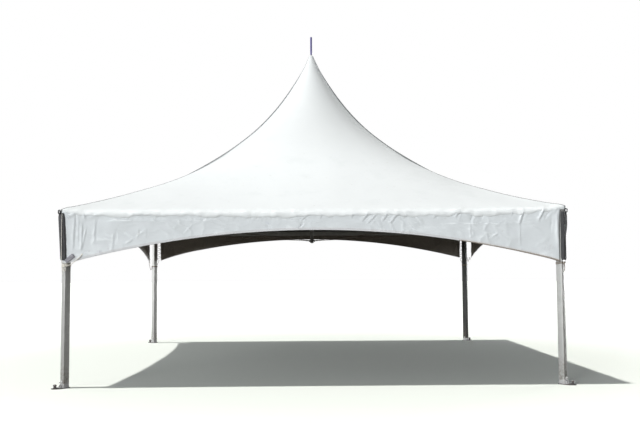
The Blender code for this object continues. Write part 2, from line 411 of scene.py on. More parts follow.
class Finish:
    """A material being mixed: its nodes, with short calls for the usual ones."""

    def __init__(self, name, colour, rough, metal=0.0):
        self.material = bpy.data.materials.new(name)
        self.material.use_nodes = True
        self.material.diffuse_color = (*colour, 1.0)
        self.nodes = self.material.node_tree.nodes
        self.body = self.nodes["Principled BSDF"]
        self.body.inputs["Base Color"].default_value = (*colour, 1.0)
        self.body.inputs["Roughness"].default_value = rough
        self.body.inputs["Metallic"].default_value = metal
        self.height = None
        self.place = self.nodes.new("ShaderNodeTexCoord")

    def link(self, source, target):
        self.material.node_tree.links.new(source, target)

    def stretched(self, scale, source="Object"):
        """Object or UV coordinates with their own scale along each axis."""
        mapping = self.nodes.new("ShaderNodeMapping")
        mapping.inputs["Scale"].default_value = scale
        self.link(self.place.outputs[source], mapping.inputs["Vector"])
        return mapping.outputs["Vector"]

    def mottle(self, vector, scale, low, high):
        node = self.nodes.new("ShaderNodeGroup")
        node.node_tree = MOTTLE
        node.inputs["Scale"].default_value = scale
        node.inputs["Low"].default_value = low
        node.inputs["High"].default_value = high
        self.link(vector, node.inputs["Vector"])
        return node.outputs["Mask"]

    def maths(self, kind, a, b):
        node = self.nodes.new("ShaderNodeMath")
        node.operation = kind
        for socket, value in zip(node.inputs, (a, b)):
            if isinstance(value, (int, float)):
                socket.default_value = value
            else:
                self.link(value, socket)
        return node.outputs[0]

    def remap(self, value, low, high, to_low=0.0, to_high=1.0):
        node = self.nodes.new("ShaderNodeMapRange")
        node.interpolation_type = "SMOOTHSTEP"
        node.inputs["From Min"].default_value = low
        node.inputs["From Max"].default_value = high
        node.inputs["To Min"].default_value = to_low
        node.inputs["To Max"].default_value = to_high
        self.link(value, node.inputs["Value"])
        return node.outputs["Result"]

    def tint(self, mask, colour, share=1.0):
        """Lay a colour over the base colour where the mask is."""
        mix = self.nodes.new("ShaderNodeMix")
        mix.data_type = "RGBA"
        target = self.body.inputs["Base Color"]
        if target.is_linked:
            self.link(target.links[0].from_socket, mix.inputs["A"])
        else:
            mix.inputs["A"].default_value = target.default_value
        mix.inputs["B"].default_value = (*colour, 1.0)
        self.link(self.maths("MULTIPLY", mask, share), mix.inputs["Factor"])
        self.link(mix.outputs["Result"], target)

    def spot_tint(self, centre, reach, colour, share):
        """A spot of colour about one place, broken up at its rim, used for spots of painted shade."""
        spot_place = self.nodes.new("ShaderNodeMapping")
        spot_place.vector_type = "TEXTURE"
        spot_place.inputs["Location"].default_value = centre
        spot_place.inputs["Scale"].default_value = reach
        self.link(self.place.outputs["Object"], spot_place.inputs["Vector"])
        spot = self.nodes.new("ShaderNodeTexGradient")
        spot.gradient_type = "SPHERICAL"
        self.link(spot_place.outputs["Vector"], spot.inputs["Vector"])
        broken = self.mottle(self.stretched((1, 1, 1)), 31, 0.35, 0.7)
        mask = self.remap(self.maths("MULTIPLY", spot.outputs["Fac"], broken), 0.02, 0.6)
        self.tint(mask, colour, share)

    def vary(self, socket, value, low, high, to_low, to_high):
        """Let a value drive roughness or another plain socket."""
        self.link(self.remap(value, low, high, to_low, to_high), self.body.inputs[socket])

    def bump(self, value, distance, strength=1.0):
        """Add a height to the surface's normal."""
        node = self.nodes.new("ShaderNodeBump")
        node.inputs["Distance"].default_value = distance
        node.inputs["Strength"].default_value = strength
        self.link(value, node.inputs["Height"])
        if self.height is not None:
            self.link(self.height, node.inputs["Normal"])
        self.height = node.outputs["Normal"]
        self.link(self.height, self.body.inputs["Normal"])


def zinc_coat(name, colour, rough, rust, metal=0.6):
    """Galvanised steel: dull zinc with spangle, white bloom, and rust in blotches."""
    zinc = Finish(name, colour, rough, metal)
    where = zinc.stretched((1, 1, 1))
    cells = zinc.nodes.new("ShaderNodeTexVoronoi")
    cells.inputs["Scale"].default_value = 95
    zinc.link(where, cells.inputs["Vector"])
    tone = zinc.nodes.new("ShaderNodeSeparateColor")
    zinc.link(cells.outputs["Color"], tone.inputs[0])
    zinc.tint(tone.outputs[0], tuple(c * 1.25 for c in colour), 0.5)
    zinc.tint(zinc.mottle(where, 22, 0.5, 0.75), tuple(c * 1.4 for c in colour), 0.45)
    spot_tint = zinc.mottle(where, 34, 0.56, 0.72)
    zinc.tint(spot_tint, (0.20, 0.095, 0.045), rust)
    zinc.vary("Roughness", tone.outputs[1], 0, 1, rough - 0.1, rough + 0.15)
    zinc.bump(zinc.mottle(where, 160, 0.3, 0.8), 0.0004, 0.6)
    return zinc.material


# The plates' zinc is painted near black for the shade along their edges, far darker than the sockets'
# zinc: painted shade, with rust in blotches
SHADED_PLATE_ZINC = zinc_coat("plate_zinc", (0.085, 0.083, 0.08), 0.55, 0.75)
SOCKET_ZINC = zinc_coat("socket_zinc", (0.50, 0.50, 0.495), 0.5, 0.3, 0.3)
BOLT_ZINC = zinc_coat("bolt_zinc", (0.62, 0.62, 0.60), 0.33, 0.2)

for tag in CORNERS:
    place = corner_place(tag)
    plate = bar_stock((PLATE_LONG, PLATE_WIDE, PLATE_THICK), 0.012, 0.0012)
    bmesh.ops.bisect_plane(
        plate, geom=list(plate.verts) + list(plate.edges) + list(plate.faces), dist=1e-6,
        plane_co=(0.042, 0, 0), plane_no=(1, 0, 0),
    )
    for v in plate.verts:
        if v.co.x > 0.043:
            v.co.y *= 1 - 0.62 * (v.co.x - 0.042) / (PLATE_LONG / 2 - 0.042)
    at = Matrix.Translation((PLATE_OUT, 0, PLATE_THICK / 2))
    bmesh.ops.transform(plate, matrix=place @ at, verts=plate.verts)
    fit_piece("foot_plate_" + tag, plate, [SHADED_PLATE_ZINC], ["base_plate_" + tag])

    socket = bar_stock((SOCKET_SIDE, SOCKET_SIDE, SOCKET_HIGH), 0.006, 0.0015)
    bmesh.ops.translate(socket, vec=(0, 0, PLATE_THICK + SOCKET_HIGH / 2), verts=socket.verts)
    bead_line = square_round(SOCKET_SIDE / 2 + 0.001, 0.007, PLATE_THICK + 0.001, 0, 0.0012)
    add_to(socket, swept_line(bead_line, 0.0045, sides=8, ripple=0.14, closed=True))
    standing = bar_stock((0.005, ANGLE_WIDE, ANGLE_HIGH), 0.002, 0.001)
    spot = (SOCKET_SIDE / 2 + 0.0030, 0, PLATE_THICK + ANGLE_HIGH / 2)
    add_to(socket, standing, Matrix.Translation(spot))
    lying = bar_stock((0.040, ANGLE_WIDE, 0.005), 0.002, 0.001)
    spot = (SOCKET_SIDE / 2 + 0.020, 0, PLATE_THICK + 0.0027)
    add_to(socket, lying, Matrix.Translation(spot))
    for edge_side in (-1, 1):
        gusset = bar_stock((0.028, 0.004, 0.040), 0.001, 0.0008)
        for v in gusset.verts:
            if v.co.x > 0 and v.co.z > 0:
                v.co.x = -0.010
        spot = (SOCKET_SIDE / 2 + 0.017, edge_side * 0.021, PLATE_THICK + 0.023)
        add_to(socket, gusset, Matrix.Translation(spot))
    bmesh.ops.transform(socket, matrix=place, verts=socket.verts)
    fit_piece("foot_socket_" + tag, socket, [SOCKET_ZINC])

    bolts = bmesh.new()
    outwards = Matrix.Rotation(math.radians(90), 4, "Y")
    for facing, shank, stand_off in ((0, 0.016, 0.0056), (180, 0.004, -0.0010)):
        turn = Matrix.Rotation(math.radians(facing), 4, "Z")
        seat = Matrix.Translation((SOCKET_SIDE / 2 + stand_off, 0, BOLT_HIGH))
        add_to(bolts, hex_bolt(0.019, 0.009, shank, 0.014), turn @ seat @ outwards)
    bmesh.ops.transform(bolts, matrix=place, verts=bolts.verts)
    fit_piece("foot_bolt_" + tag, bolts, [BOLT_ZINC])

# Anchor pins
# Forged steel stakes driven through the outer end of each plate. Their heads are mushroomed,
# scuffed bright by the hammer and painted brighter as a highlight, and brown where the zinc has gone.
PIN_OUT = 0.125


def turned_piece(profile, steps=48):
    """Spin a profile of (radius, height) points, that runs upwards, about the upright axis."""
    bm = bmesh.new()
    line = [bm.verts.new((r, 0, z)) for r, z in profile]
    edges = [bm.edges.new(pair) for pair in zip(line, line[1:])]
    bmesh.ops.spin(
        bm, geom=line + edges, cent=(0, 0, 0), axis=(0, 0, 1), angle=2 * math.pi,
        steps=steps, use_merge=True,
    )
    bmesh.ops.remove_doubles(bm, verts=bm.verts, dist=1e-6)
    holes = [e for e in bm.edges if e.is_boundary]
    if holes:
        bmesh.ops.holes_fill(bm, edges=holes, sides=0)
    bmesh.ops.recalc_face_normals(bm, faces=bm.faces)
    return bm


def hammered_steel():
    """Forged steel, brown where the zinc has gone, with a top hammered bright and painted as a
    highlight.
    """
    steel = Finish("hammered_steel", (0.15, 0.147, 0.145), 0.5, 0.6)
    where = steel.stretched((1, 1, 1))
    steel.tint(steel.mottle(where, 60, 0.5, 0.66), (0.20, 0.11, 0.06), 0.6)
    height = steel.nodes.new("ShaderNodeSeparateXYZ")
    steel.link(steel.place.outputs["Object"], height.inputs[0])
    crown_mask = steel.remap(height.outputs["Z"], 0.044, 0.052)
    # The top is painted near white: hammer scuffs, and a painted highlight
    scuff_and_glint = steel.maths("MULTIPLY", crown_mask, steel.mottle(where, 130, 0.35, 0.6))
    steel.tint(scuff_and_glint, (0.74, 0.73, 0.71), 0.85)
    steel.vary("Roughness", scuff_and_glint, 0, 1, 0.62, 0.34)
    steel.bump(steel.mottle(where, 150, 0.3, 0.75), 0.0012, 0.8)
    return steel.material


HAMMERED = hammered_steel()
for tag in CORNERS:
    pin = turned_piece(
        (
            (0.0105, PLATE_THICK), (0.0105, 0.027), (0.0135, 0.029), (0.0185, 0.0305),
            (0.0212, 0.035), (0.0210, 0.043), (0.018, 0.0495), (0.012, 0.0532), (0.0, 0.0545),
        )
    )
    for v in pin.verts:
        if v.co.z > 0.028:
            lump = noise.noise(v.co * 60 + Vector((len(tag), ord(tag[0]), ord(tag[1]))))
            v.co.xy *= 1 + 0.10 * lump
            v.co.z += 0.0012 * lump
    collar = turned_piece(
        (
            (0.0112, PLATE_THICK), (0.0175, PLATE_THICK), (0.0188, 0.011), (0.0188, 0.020),
            (0.0165, 0.0235), (0.0112, 0.0235),
        )
    )
    add_to(pin, collar)
    at = corner_place(tag) @ Matrix.Translation((PIN_OUT, 0, 0))
    bmesh.ops.transform(pin, matrix=at, verts=pin.verts)
    fit_piece("stake_" + tag, pin, [HAMMERED], ["anchor_pin_" + tag])

# Legs
# Square aluminium tube, turned so that an edge faces the front. The die leaves fine lines
# along it, the mill finish has gone dull and grey, and splashed soil greys the foot.
LEG_SIDE = 0.075


def mill_aluminium(name, colour, lines, rough=0.44, soil=0.0):
    """Extruded aluminium; lines is the scale along each axis, small along the tube."""
    metal = Finish(name, colour, rough, 0.45)
    along = metal.stretched(lines)
    where = metal.stretched((1, 1, 1))
    streak = metal.mottle(along, 1.0, 0.35, 0.7)
    metal.tint(streak, tuple(c * 0.72 for c in colour), 0.55)
    metal.tint(metal.mottle(where, 7, 0.45, 0.7), tuple(c * 1.18 for c in colour), 0.5)
    metal.tint(metal.mottle(where, 26, 0.6, 0.7), tuple(c * 0.6 for c in colour), 0.45)
    if soil:
        height = metal.nodes.new("ShaderNodeSeparateXYZ")
        metal.link(metal.place.outputs["Object"], height.inputs[0])
        near_ground = metal.remap(height.outputs["Z"], 0.42, 0.03)
        splash = metal.maths("MULTIPLY", near_ground, metal.mottle(where, 38, 0.42, 0.62))
        metal.tint(splash, (0.24, 0.20, 0.16), soil)
    metal.vary("Roughness", metal.mottle(where, 11, 0.3, 0.7), 0, 1, rough - 0.07, rough + 0.12)
    metal.bump(streak, 0.0003, 0.35)
    metal.bump(metal.mottle(where, 90, 0.35, 0.75), 0.0003, 0.25)
    return metal.material


# Each leg is painted its own tone for the light it stands in, pale where lit and near black for the
# rear right leg in the roof's shade: painted light and shade
LEG_PAINTED_LIGHT_TONE = {"fl": 0.57, "fr": 0.64, "rl": 0.84, "rr": 0.10}

for tag in CORNERS:
    low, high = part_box("leg_" + tag)
    leg = bar_stock((LEG_SIDE, LEG_SIDE, high.z - low.z), 0.0045, 0.001)
    bmesh.ops.translate(leg, vec=(0, 0, (low.z + high.z) / 2), verts=leg.verts)
    bmesh.ops.transform(leg, matrix=corner_place(tag), verts=leg.verts)
    tone = LEG_PAINTED_LIGHT_TONE[tag]
    metal = mill_aluminium(
        "leg_aluminium_" + tag, (tone, tone, tone * 0.97), (170, 170, 2.2), soil=0.6
    )
    fit_piece("post_" + tag, leg, [metal], ["leg_" + tag])

# Corner blocks
# Cast aluminium corners that the legs and eave beams plug into. Square collars stand out
# round each tube, and hexagon bolts clamp the tubes in.
BLOCK_SIDE, BLOCK_CUT = 0.11, 0.02
BEAM_WIDE, BEAM_HIGH = 0.05, 0.08


def cast_aluminium():
    """Sand cast aluminium: dull and grainy, with darker and paler patches."""
    cast = Finish("cast_aluminium", (0.40, 0.40, 0.39), 0.58, 0.7)
    where = cast.stretched((1, 1, 1))
    cast.tint(cast.mottle(where, 30, 0.42, 0.7), (0.27, 0.27, 0.26), 0.6)
    cast.tint(cast.mottle(where, 9, 0.55, 0.75), (0.52, 0.51, 0.49), 0.5)
    cast.bump(cast.mottle(where, 420, 0.3, 0.75), 0.0006, 0.7)
    cast.bump(cast.mottle(where, 60, 0.3, 0.7), 0.001, 0.3)
    return cast.material


CAST = cast_aluminium()
for tag in CORNERS:
    low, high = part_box("corner_block_" + tag)
    middle = (low + high) / 2
    sx, sy = math.copysign(1, middle.x), math.copysign(1, middle.y)
    block = bar_stock((BLOCK_SIDE, BLOCK_SIDE, high.z - low.z), BLOCK_CUT, 0.003)
    collar = bar_stock((0.094, 0.094, 0.022), 0.008, 0.002)
    turn = Matrix.Rotation(math.radians(45), 4, "Z")
    add_to(block, collar, Matrix.Translation((0, 0, low.z - middle.z - 0.0105)) @ turn)
    beam_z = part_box("eave_beam_front")[1].z - BEAM_HIGH / 2 - middle.z
    for angle in (0, 90):
        inward = Vector((-sx, 0, 0)) if angle == 0 else Vector((0, -sy, 0))
        sleeve = bar_stock((BEAM_HIGH + 0.010, BEAM_WIDE + 0.010, 0.055), 0.005, 0.0015)
        face = inward.to_track_quat("Z", "X" if angle == 0 else "Y").to_matrix().to_4x4()
        upright_side = Matrix.Rotation(math.radians(90), 4, "Z")
        # The sleeve is as high as the beam, so its long side is turned upright
        probe = face @ Vector((1, 0, 0))
        if abs(probe.z) < 0.5:
            face = face @ upright_side
        spot = Matrix.Translation(inward * (BLOCK_SIDE / 2 + 0.0265) + Vector((0, 0, beam_z)))
        add_to(block, sleeve, spot @ face)
    bmesh.ops.translate(block, vec=middle, verts=block.verts)
    fit_piece("corner_casting_" + tag, block, [CAST], ["corner_block_" + tag])

    bolts = bmesh.new()
    for inward, over in (
        (Vector((-sx, 0, 0)), Vector((0, -sy, 0))),
        (Vector((0, -sy, 0)), Vector((-sx, 0, 0))),
    ):
        face = over.to_track_quat("Z", "Y").to_matrix().to_4x4()
        for rise in (-0.02, 0.02):
            spot = (
                middle
                + inward * (BLOCK_SIDE / 2 + 0.028)
                + over * (BEAM_WIDE / 2 + 0.0052)
                + Vector((0, 0, beam_z + rise))
            )
            add_to(bolts, hex_bolt(0.013, 0.007, 0.004, 0.0105), Matrix.Translation(spot) @ face)
    fit_piece("corner_bolts_" + tag, bolts, [BOLT_ZINC])

# Eave beams
# Rectangular aluminium tubes between the corner blocks, under the canopy's edge. Their
# ends sit in the blocks' sleeves, where the hexagon bolts clamp them.
BEAM_METAL = {
    "x": mill_aluminium("beam_aluminium_x", (0.50, 0.50, 0.49), (2.2, 170, 170)),
    "y": mill_aluminium("beam_aluminium_y", (0.50, 0.50, 0.49), (170, 2.2, 170)),
}
TURN = {"front": 0.0, "right": 90.0, "rear": 180.0, "left": 270.0}
for side in TURN:
    low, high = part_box("eave_beam_" + side)
    size = high - low
    runs = "x" if size.x > size.y else "y"
    length = max(size.x, size.y)
    beam = bar_stock((BEAM_WIDE, BEAM_HIGH, length), 0.004, 0.0008)
    lay = Matrix.Rotation(math.radians(90), 4, "X")
    if runs == "x":
        lay = Matrix.Rotation(math.radians(90), 4, "Z") @ lay
    bmesh.ops.transform(beam, matrix=Matrix.Translation((low + high) / 2) @ lay, verts=beam.verts)
    fit_piece("beam_" + side, beam, [BEAM_METAL[runs]], ["eave_beam_" + side])

# Mast, hub, crown and spire
# A round aluminium mast floats on a galvanised steel hub that the four stays hold up. Its
# crown spreads the fabric, and a painted steel spire stands on it through the peak.
MAST_RADIUS = 0.025
HUB_RADIUS = 0.029
MAST_JOINT = 3.10


def spire_paint():
    """Violet paint on steel, with small pale chips."""
    paint = Finish("spire_paint", (0.105, 0.092, 0.27), 0.38)
    where = paint.stretched((1, 1, 1))
    paint.tint(paint.mottle(where, 16, 0.4, 0.7), (0.15, 0.135, 0.33), 0.5)
    paint.tint(paint.mottle(where, 90, 0.66, 0.72), (0.42, 0.42, 0.44), 0.7)
    paint.vary("Roughness", paint.mottle(where, 40, 0.3, 0.7), 0, 1, 0.3, 0.5)
    paint.bump(paint.mottle(where, 70, 0.3, 0.7), 0.0005, 0.3)
    return paint.material


# The mast's aluminium is painted darker than the beams', for the shade under the roof: painted shade
SHADED_MAST_METAL = mill_aluminium("mast_aluminium", (0.34, 0.34, 0.33), (170, 170, 2.2))
HUB_ZINC = zinc_coat("hub_zinc", (0.30, 0.30, 0.30), 0.5, 0.5)
SPIRE = spire_paint()

mast_low, mast_high = (p.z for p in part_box("mast"))
mast = turned_piece(
    (
        (MAST_RADIUS - 0.002, mast_low),
        (MAST_RADIUS, mast_low + 0.002),
        (MAST_RADIUS, MAST_JOINT - 0.09),
        (MAST_RADIUS + 0.0035, MAST_JOINT - 0.088),
        (MAST_RADIUS + 0.0035, MAST_JOINT + 0.088),
        (MAST_RADIUS, MAST_JOINT + 0.09),
        (MAST_RADIUS, mast_high - 0.002),
        (MAST_RADIUS - 0.002, mast_high),
    ),
    56,
)
fit_piece("mast_tube", mast, [SHADED_MAST_METAL], ["mast"])

hub_low, hub_high = (p.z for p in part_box("mast_hub"))
hub = bmesh.new()
bmesh.ops.create_cone(
    hub, cap_ends=True, segments=8, radius1=HUB_RADIUS, radius2=HUB_RADIUS, depth=hub_high - hub_low,
    matrix=Matrix.Rotation(math.pi / 8, 4, "Z"),
)
bmesh.ops.bevel(
    hub, geom=list(hub.edges), offset=0.0025, segments=2, profile=0.5, affect="EDGES", material=-1
)
bmesh.ops.translate(hub, vec=(0, 0, (hub_low + hub_high) / 2), verts=hub.verts)
hub_bolt = hex_bolt(0.024, 0.006, 0, 0.02)
head_down = Matrix.Rotation(math.pi, 4, "X")
add_to(hub, hub_bolt, Matrix.Translation((0, 0, hub_low + 0.002)) @ head_down)
ears = bmesh.new()
for k in range(4):
    bearing = Matrix.Rotation(math.radians(45 + 90 * k), 4, "Z")
    for offset in (-0.0085, 0.0085):
        ear = bar_stock((0.040, 0.030, 0.004), 0.012, 0.0006)
        stand = Matrix.Rotation(math.radians(90), 4, "X")
        spot = Matrix.Translation((HUB_RADIUS + 0.008, offset, (hub_low + hub_high) / 2))
        add_to(ears, ear, bearing @ spot @ stand)
    pin_turn = Matrix.Rotation(math.radians(-90), 4, "X")
    spot = Matrix.Translation((HUB_RADIUS + 0.014, 0.0105, (hub_low + hub_high) / 2))
    add_to(ears, hex_bolt(0.010, 0.006, 0.003, 0.008), bearing @ spot @ pin_turn)
add_to(hub, ears)
fit_piece("stay_hub", hub, [HUB_ZINC], ["mast_hub"])

crown_low, crown_high = (p.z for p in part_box("mast_crown"))
crown_rim = (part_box("mast_crown")[1].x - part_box("mast_crown")[0].x) / 2
crown = turned_piece(
    (
        (MAST_RADIUS + 0.001, crown_low - 0.03),
        (MAST_RADIUS + 0.005, crown_low - 0.028),
        (MAST_RADIUS + 0.006, crown_low + 0.02),
        (crown_rim * 0.82, crown_low + 0.045),
        (crown_rim - 0.002, crown_low + 0.052),
        (crown_rim, crown_low + 0.056),
        (crown_rim - 0.001, crown_low + 0.062),
        (0.036, crown_high - 0.045),
        (0.026, crown_high - 0.010),
        (0.020, crown_high),
    ),
    56,
)
fit_piece("crown_spreader", crown, [CAST], ["mast_crown"])

spire_low, spire_high = (p.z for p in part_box("spire"))
rod = turned_piece(
    (
        (0.0145, spire_low),
        (0.0150, spire_low + 0.004),
        (0.0150, spire_high - 0.012),
        (0.0138, spire_high - 0.006),
        (0.0095, spire_high - 0.0015),
        (0.0, spire_high),
    ),
    40,
)
fit_piece("spire_rod", rod, [SPIRE], ["spire"])

# Stay cables
# Four wire ropes run from the hub to the corner blocks and carry the mast. Each has a
# pressed sleeve and fork at the hub and a turnbuckle at the corner; the wire is rusty.
CABLE_RADIUS = 0.004


def rusty_wire():
    """Steel wire, rusty between duller bright patches."""
    wire = Finish("rusty_wire", (0.26, 0.17, 0.13), 0.5, 0.75)
    where = wire.stretched((1, 1, 1))
    wire.tint(wire.mottle(where, 14, 0.45, 0.7), (0.40, 0.38, 0.36), 0.6)
    wire.tint(wire.mottle(where, 75, 0.5, 0.66), (0.17, 0.07, 0.035), 0.8)
    wire.vary("Roughness", wire.mottle(where, 30, 0.3, 0.7), 0, 1, 0.4, 0.7)
    return wire.material


WIRE = rusty_wire()
for tag in CORNERS:
    low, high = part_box("stay_cable_" + tag)
    corner = corner_place(tag).translation
    sx, sy = math.copysign(1, corner.x), math.copysign(1, corner.y)
    xs, ys = sorted((low.x, high.x), key=abs), sorted((low.y, high.y), key=abs)
    start = Vector((xs[0], ys[0], low.z + CABLE_RADIUS))
    end = Vector((xs[1], ys[1], high.z - CABLE_RADIUS))
    run = end - start
    length = run.length
    heading = run.normalized()
    lay = Matrix.Translation(start) @ heading.to_track_quat("X", "Z").to_matrix().to_4x4()
    line = [Vector((0.03 + (length - 0.27) * k / 640, 0, 0)) for k in range(641)]
    cable = swept_line(line, CABLE_RADIUS, sides=12, lobes=6, pitch=0.055, groove=0.35)
    bmesh.ops.transform(cable, matrix=lay, verts=cable.verts)
    fit_piece("stay_wire_" + tag, cable, [WIRE], ["stay_cable_" + tag], corner=60)

    fittings = bmesh.new()
    sideways = Matrix.Rotation(math.radians(90), 4, "Y")
    sleeve = turned_piece(
        ((0.0052, 0.0), (0.0068, 0.003), (0.0068, 0.050), (0.0052, 0.056), (0.0044, 0.058)), 20
    )
    add_to(fittings, sleeve, Matrix.Translation((0.045, 0, 0)) @ sideways)
    fork = bar_stock((0.034, 0.013, 0.010), 0.003, 0.001)
    add_to(fittings, fork, Matrix.Translation((0.030, 0, 0)))
    back = length - 0.25
    sleeve = turned_piece(
        ((0.0044, 0.0), (0.0068, 0.004), (0.0068, 0.050), (0.0052, 0.054), (0.0052, 0.056)), 20
    )
    add_to(fittings, sleeve, Matrix.Translation((back - 0.05, 0, 0)) @ sideways)
    for rod_from, rod_to in ((back, back + 0.055), (back + 0.15, back + 0.235)):
        rod_line = [Vector((rod_from + (rod_to - rod_from) * k / 40, 0, 0)) for k in range(41)]
        add_to(fittings, swept_line(rod_line, 0.0042, sides=12, ripple=0.10))
    for offset in (-0.0095, 0.0095):
        rail = bar_stock((0.118, 0.0055, 0.011), 0.0016, 0.0008)
        add_to(fittings, rail, Matrix.Translation((back + 0.10, offset, 0)))
    for mid in (back + 0.044, back + 0.156):
        nut = bar_stock((0.016, 0.026, 0.014), 0.004, 0.0015)
        add_to(fittings, nut, Matrix.Translation((mid, 0, 0)))
    eye_line = [
        Vector((length - 0.014 + 0.009 * math.cos(a), 0, 0.009 * math.sin(a)))
        for a in (2 * math.pi * k / 24 for k in range(24))
    ]
    add_to(fittings, swept_line(eye_line, 0.0034, sides=10, closed=True))
    bmesh.ops.transform(fittings, matrix=lay, verts=fittings.verts)
    fit_piece("turnbuckle_" + tag, fittings, [HUB_ZINC])

# Canopy roof
# One sheet of coated white cloth with a dark blackout back, welded from four panels and
# stretched from the square eave up to the peak. Its edge folds down over the eave seam.
EAVE = 3.03
EAVE_HIGH = 2.10
EAVE_SAG = 0.015
SHEET_THICK = 0.0016
SHOULDER = 0.042
TURNED_DOWN = 0.028
SPIRE_HOLE = 0.030
PULL_REACH, PULL_HIGH = 1.15, 0.024

# The roof's slope: share of the way from the peak to the eave, and height there
SLOPE = (
    (0.0, 4.81), (0.04, 4.545), (0.1, 4.24), (0.18, 3.90), (0.28, 3.562),
    (0.4, 3.246), (0.55, 2.905), (0.7, 2.59), (0.85, 2.33), (1.0, EAVE_HIGH),
)

# Folds that show on the front, seen from outside: place along the eave and depth below
# it at the two ends, width, and how far each stands out
FRONT_FOLDS = [
    (-1.83, -0.06, -1.89, 0.07, 0.014, 0.006),
    (-1.30, -0.04, -1.40, 0.07, 0.013, 0.006),
    (-2.72, -0.08, -2.95, 0.09, 0.020, 0.009),
    (-2.771, 0.15, -2.777, 0.46, 0.013, 0.006),
    (-2.724, 0.20, -2.76, 0.42, 0.010, 0.005),
    (-2.855, 0.05, -2.88, 0.46, 0.015, 0.008),
    (-2.40, 0.26, -2.40, 0.42, 0.009, 0.003),
    (-2.12, 0.30, -2.02, 0.22, 0.014, 0.004),
    (-2.52, 0.108, -1.75, 0.112, 0.024, 0.006),
    (-1.75, 0.112, -1.02, 0.105, 0.022, 0.004),
    (-0.79, -0.03, -0.82, 0.08, 0.013, 0.005),
    (-0.69, -0.02, -0.71, 0.085, 0.012, 0.006),
    (-0.46, -0.03, -0.47, 0.07, 0.012, 0.005),
    (-0.21, -0.04, -0.24, 0.06, 0.013, 0.005),
    (-0.08, 0.02, -0.165, 0.11, 0.013, 0.004),
    (-0.13, 0.13, -0.195, 0.21, 0.012, -0.005),
    (0.10, -0.04, 0.06, 0.09, 0.012, 0.005),
    (0.46, -0.05, 0.44, 0.08, 0.013, 0.006),
    (0.68, -0.02, 0.57, 0.11, 0.015, 0.007),
    (0.73, 0.05, 0.63, 0.15, 0.013, 0.005),
    (0.92, -0.05, 0.81, 0.12, 0.014, 0.007),
    (1.03, -0.02, 0.90, 0.15, 0.015, 0.007),
    (1.13, -0.04, 1.07, 0.08, 0.012, 0.005),
    (1.52, -0.03, 1.42, 0.09, 0.015, 0.006),
    (1.82, -0.10, 1.69, 0.08, 0.017, 0.008),
    (1.93, -0.02, 1.87, 0.16, 0.016, -0.007),
    (1.867, 0.16, 1.867, 0.34, 0.008, 0.004),
    (2.21, -0.06, 2.18, 0.07, 0.012, 0.005),
    (2.40, -0.06, 2.36, 0.09, 0.013, 0.006),
    (2.53, -0.03, 2.455, 0.19, 0.017, 0.010),
    (2.63, -0.05, 2.585, 0.06, 0.012, 0.006),
    (2.79, -0.03, 2.69, 0.15, 0.018, 0.010),
    (2.86, 0.02, 2.77, 0.13, 0.014, -0.006),
    (1.53, 0.168, 2.83, 0.178, 0.009, 0.003),
    (2.466, 0.18, 2.466, 0.46, 0.010, 0.003),
    (2.075, 0.34, 2.06, 0.29, 0.011, 0.004),
    (2.20, 0.29, 2.12, 0.34, 0.012, 0.005),
    (2.82, 0.37, 2.74, 0.395, 0.011, 0.005),
    (2.96, -0.08, 2.885, 0.07, 0.018, 0.010),
    (2.915, 0.07, 2.92, 0.47, 0.020, 0.014),
    (-2.843, 0.01, -2.843, 0.135, 0.010, -0.006),
    (-2.813, 0.08, -2.815, 0.42, 0.009, 0.004),
    (-2.617, 0.10, -2.625, 0.36, 0.016, 0.004),
    (-2.75, 0.01, -2.735, 0.08, 0.011, 0.007),
    (-2.66, 0.065, -2.59, 0.035, 0.010, 0.006),
    (-2.36, 0.22, -2.362, 0.35, 0.008, -0.003),
    (-2.36, 0.21, -2.15, 0.33, 0.016, -0.004),
    (-2.15, 0.32, -2.25, 0.38, 0.012, 0.004),
    (-2.105, 0.205, -2.107, 0.32, 0.007, 0.003),
    (-2.01, 0.205, -2.012, 0.32, 0.007, 0.003),
    (-2.25, 0.157, -2.12, 0.153, 0.009, 0.003),
    (-1.56, 0.26, -1.46, 0.15, 0.010, 0.003),
    (-0.19, 0.096, -0.11, 0.097, 0.008, -0.004),
    (-0.58, 0.16, -0.52, 0.20, 0.016, -0.003),
    (1.13, 0.17, 1.22, 0.26, 0.010, 0.003),
    (1.30, 0.15, 1.20, 0.07, 0.011, 0.004),
    (1.74, -0.04, 1.66, 0.06, 0.012, 0.007),
    (2.04, 0.02, 2.00, 0.12, 0.013, -0.004),
    (2.17, 0.20, 2.26, 0.14, 0.010, 0.003),
    (2.60, 0.20, 2.74, 0.30, 0.012, 0.004),
    (2.66, 0.44, 2.80, 0.40, 0.012, 0.005),
    (2.86, 0.12, 2.84, 0.30, 0.012, -0.005),
]
FOLDS_REACH = 2.88


def side_folds(seed):
    """Gathers and creases of a side that the photograph doesn't show."""
    pick = random.Random(seed)
    folds = []
    place = -FOLDS_REACH
    while place < FOLDS_REACH:
        lean = pick.uniform(-0.10, 0.06)
        reach = pick.uniform(0.06, 0.17)
        high = pick.choice((0.004, 0.005, 0.006, 0.008, -0.006))
        starts = -pick.uniform(0.02, 0.08)
        folds.append((place, starts, place + lean, reach, pick.uniform(0.011, 0.017), high))
        place += pick.uniform(0.09, 0.34)
    for _ in range(9):
        place = pick.uniform(-2.8, 2.8)
        top = pick.uniform(0.12, 0.2)
        leant = place + pick.uniform(-0.05, 0.05)
        folds.append((place, top, leant, top + pick.uniform(0.08, 0.22), 0.010, 0.004))
    folds.append((-1.9, 0.165, 1.7, 0.17, 0.009, 0.0025))
    for end in (-1, 1):
        folds.append((end * 2.80, 0.12, end * 2.82, 0.44, 0.013, 0.006))
        folds.append((end * 2.88, 0.03, end * 2.90, 0.46, 0.017, 0.009))
        folds.append((end * 2.74, -0.08, end * 2.95, 0.10, 0.020, 0.009))
    return folds


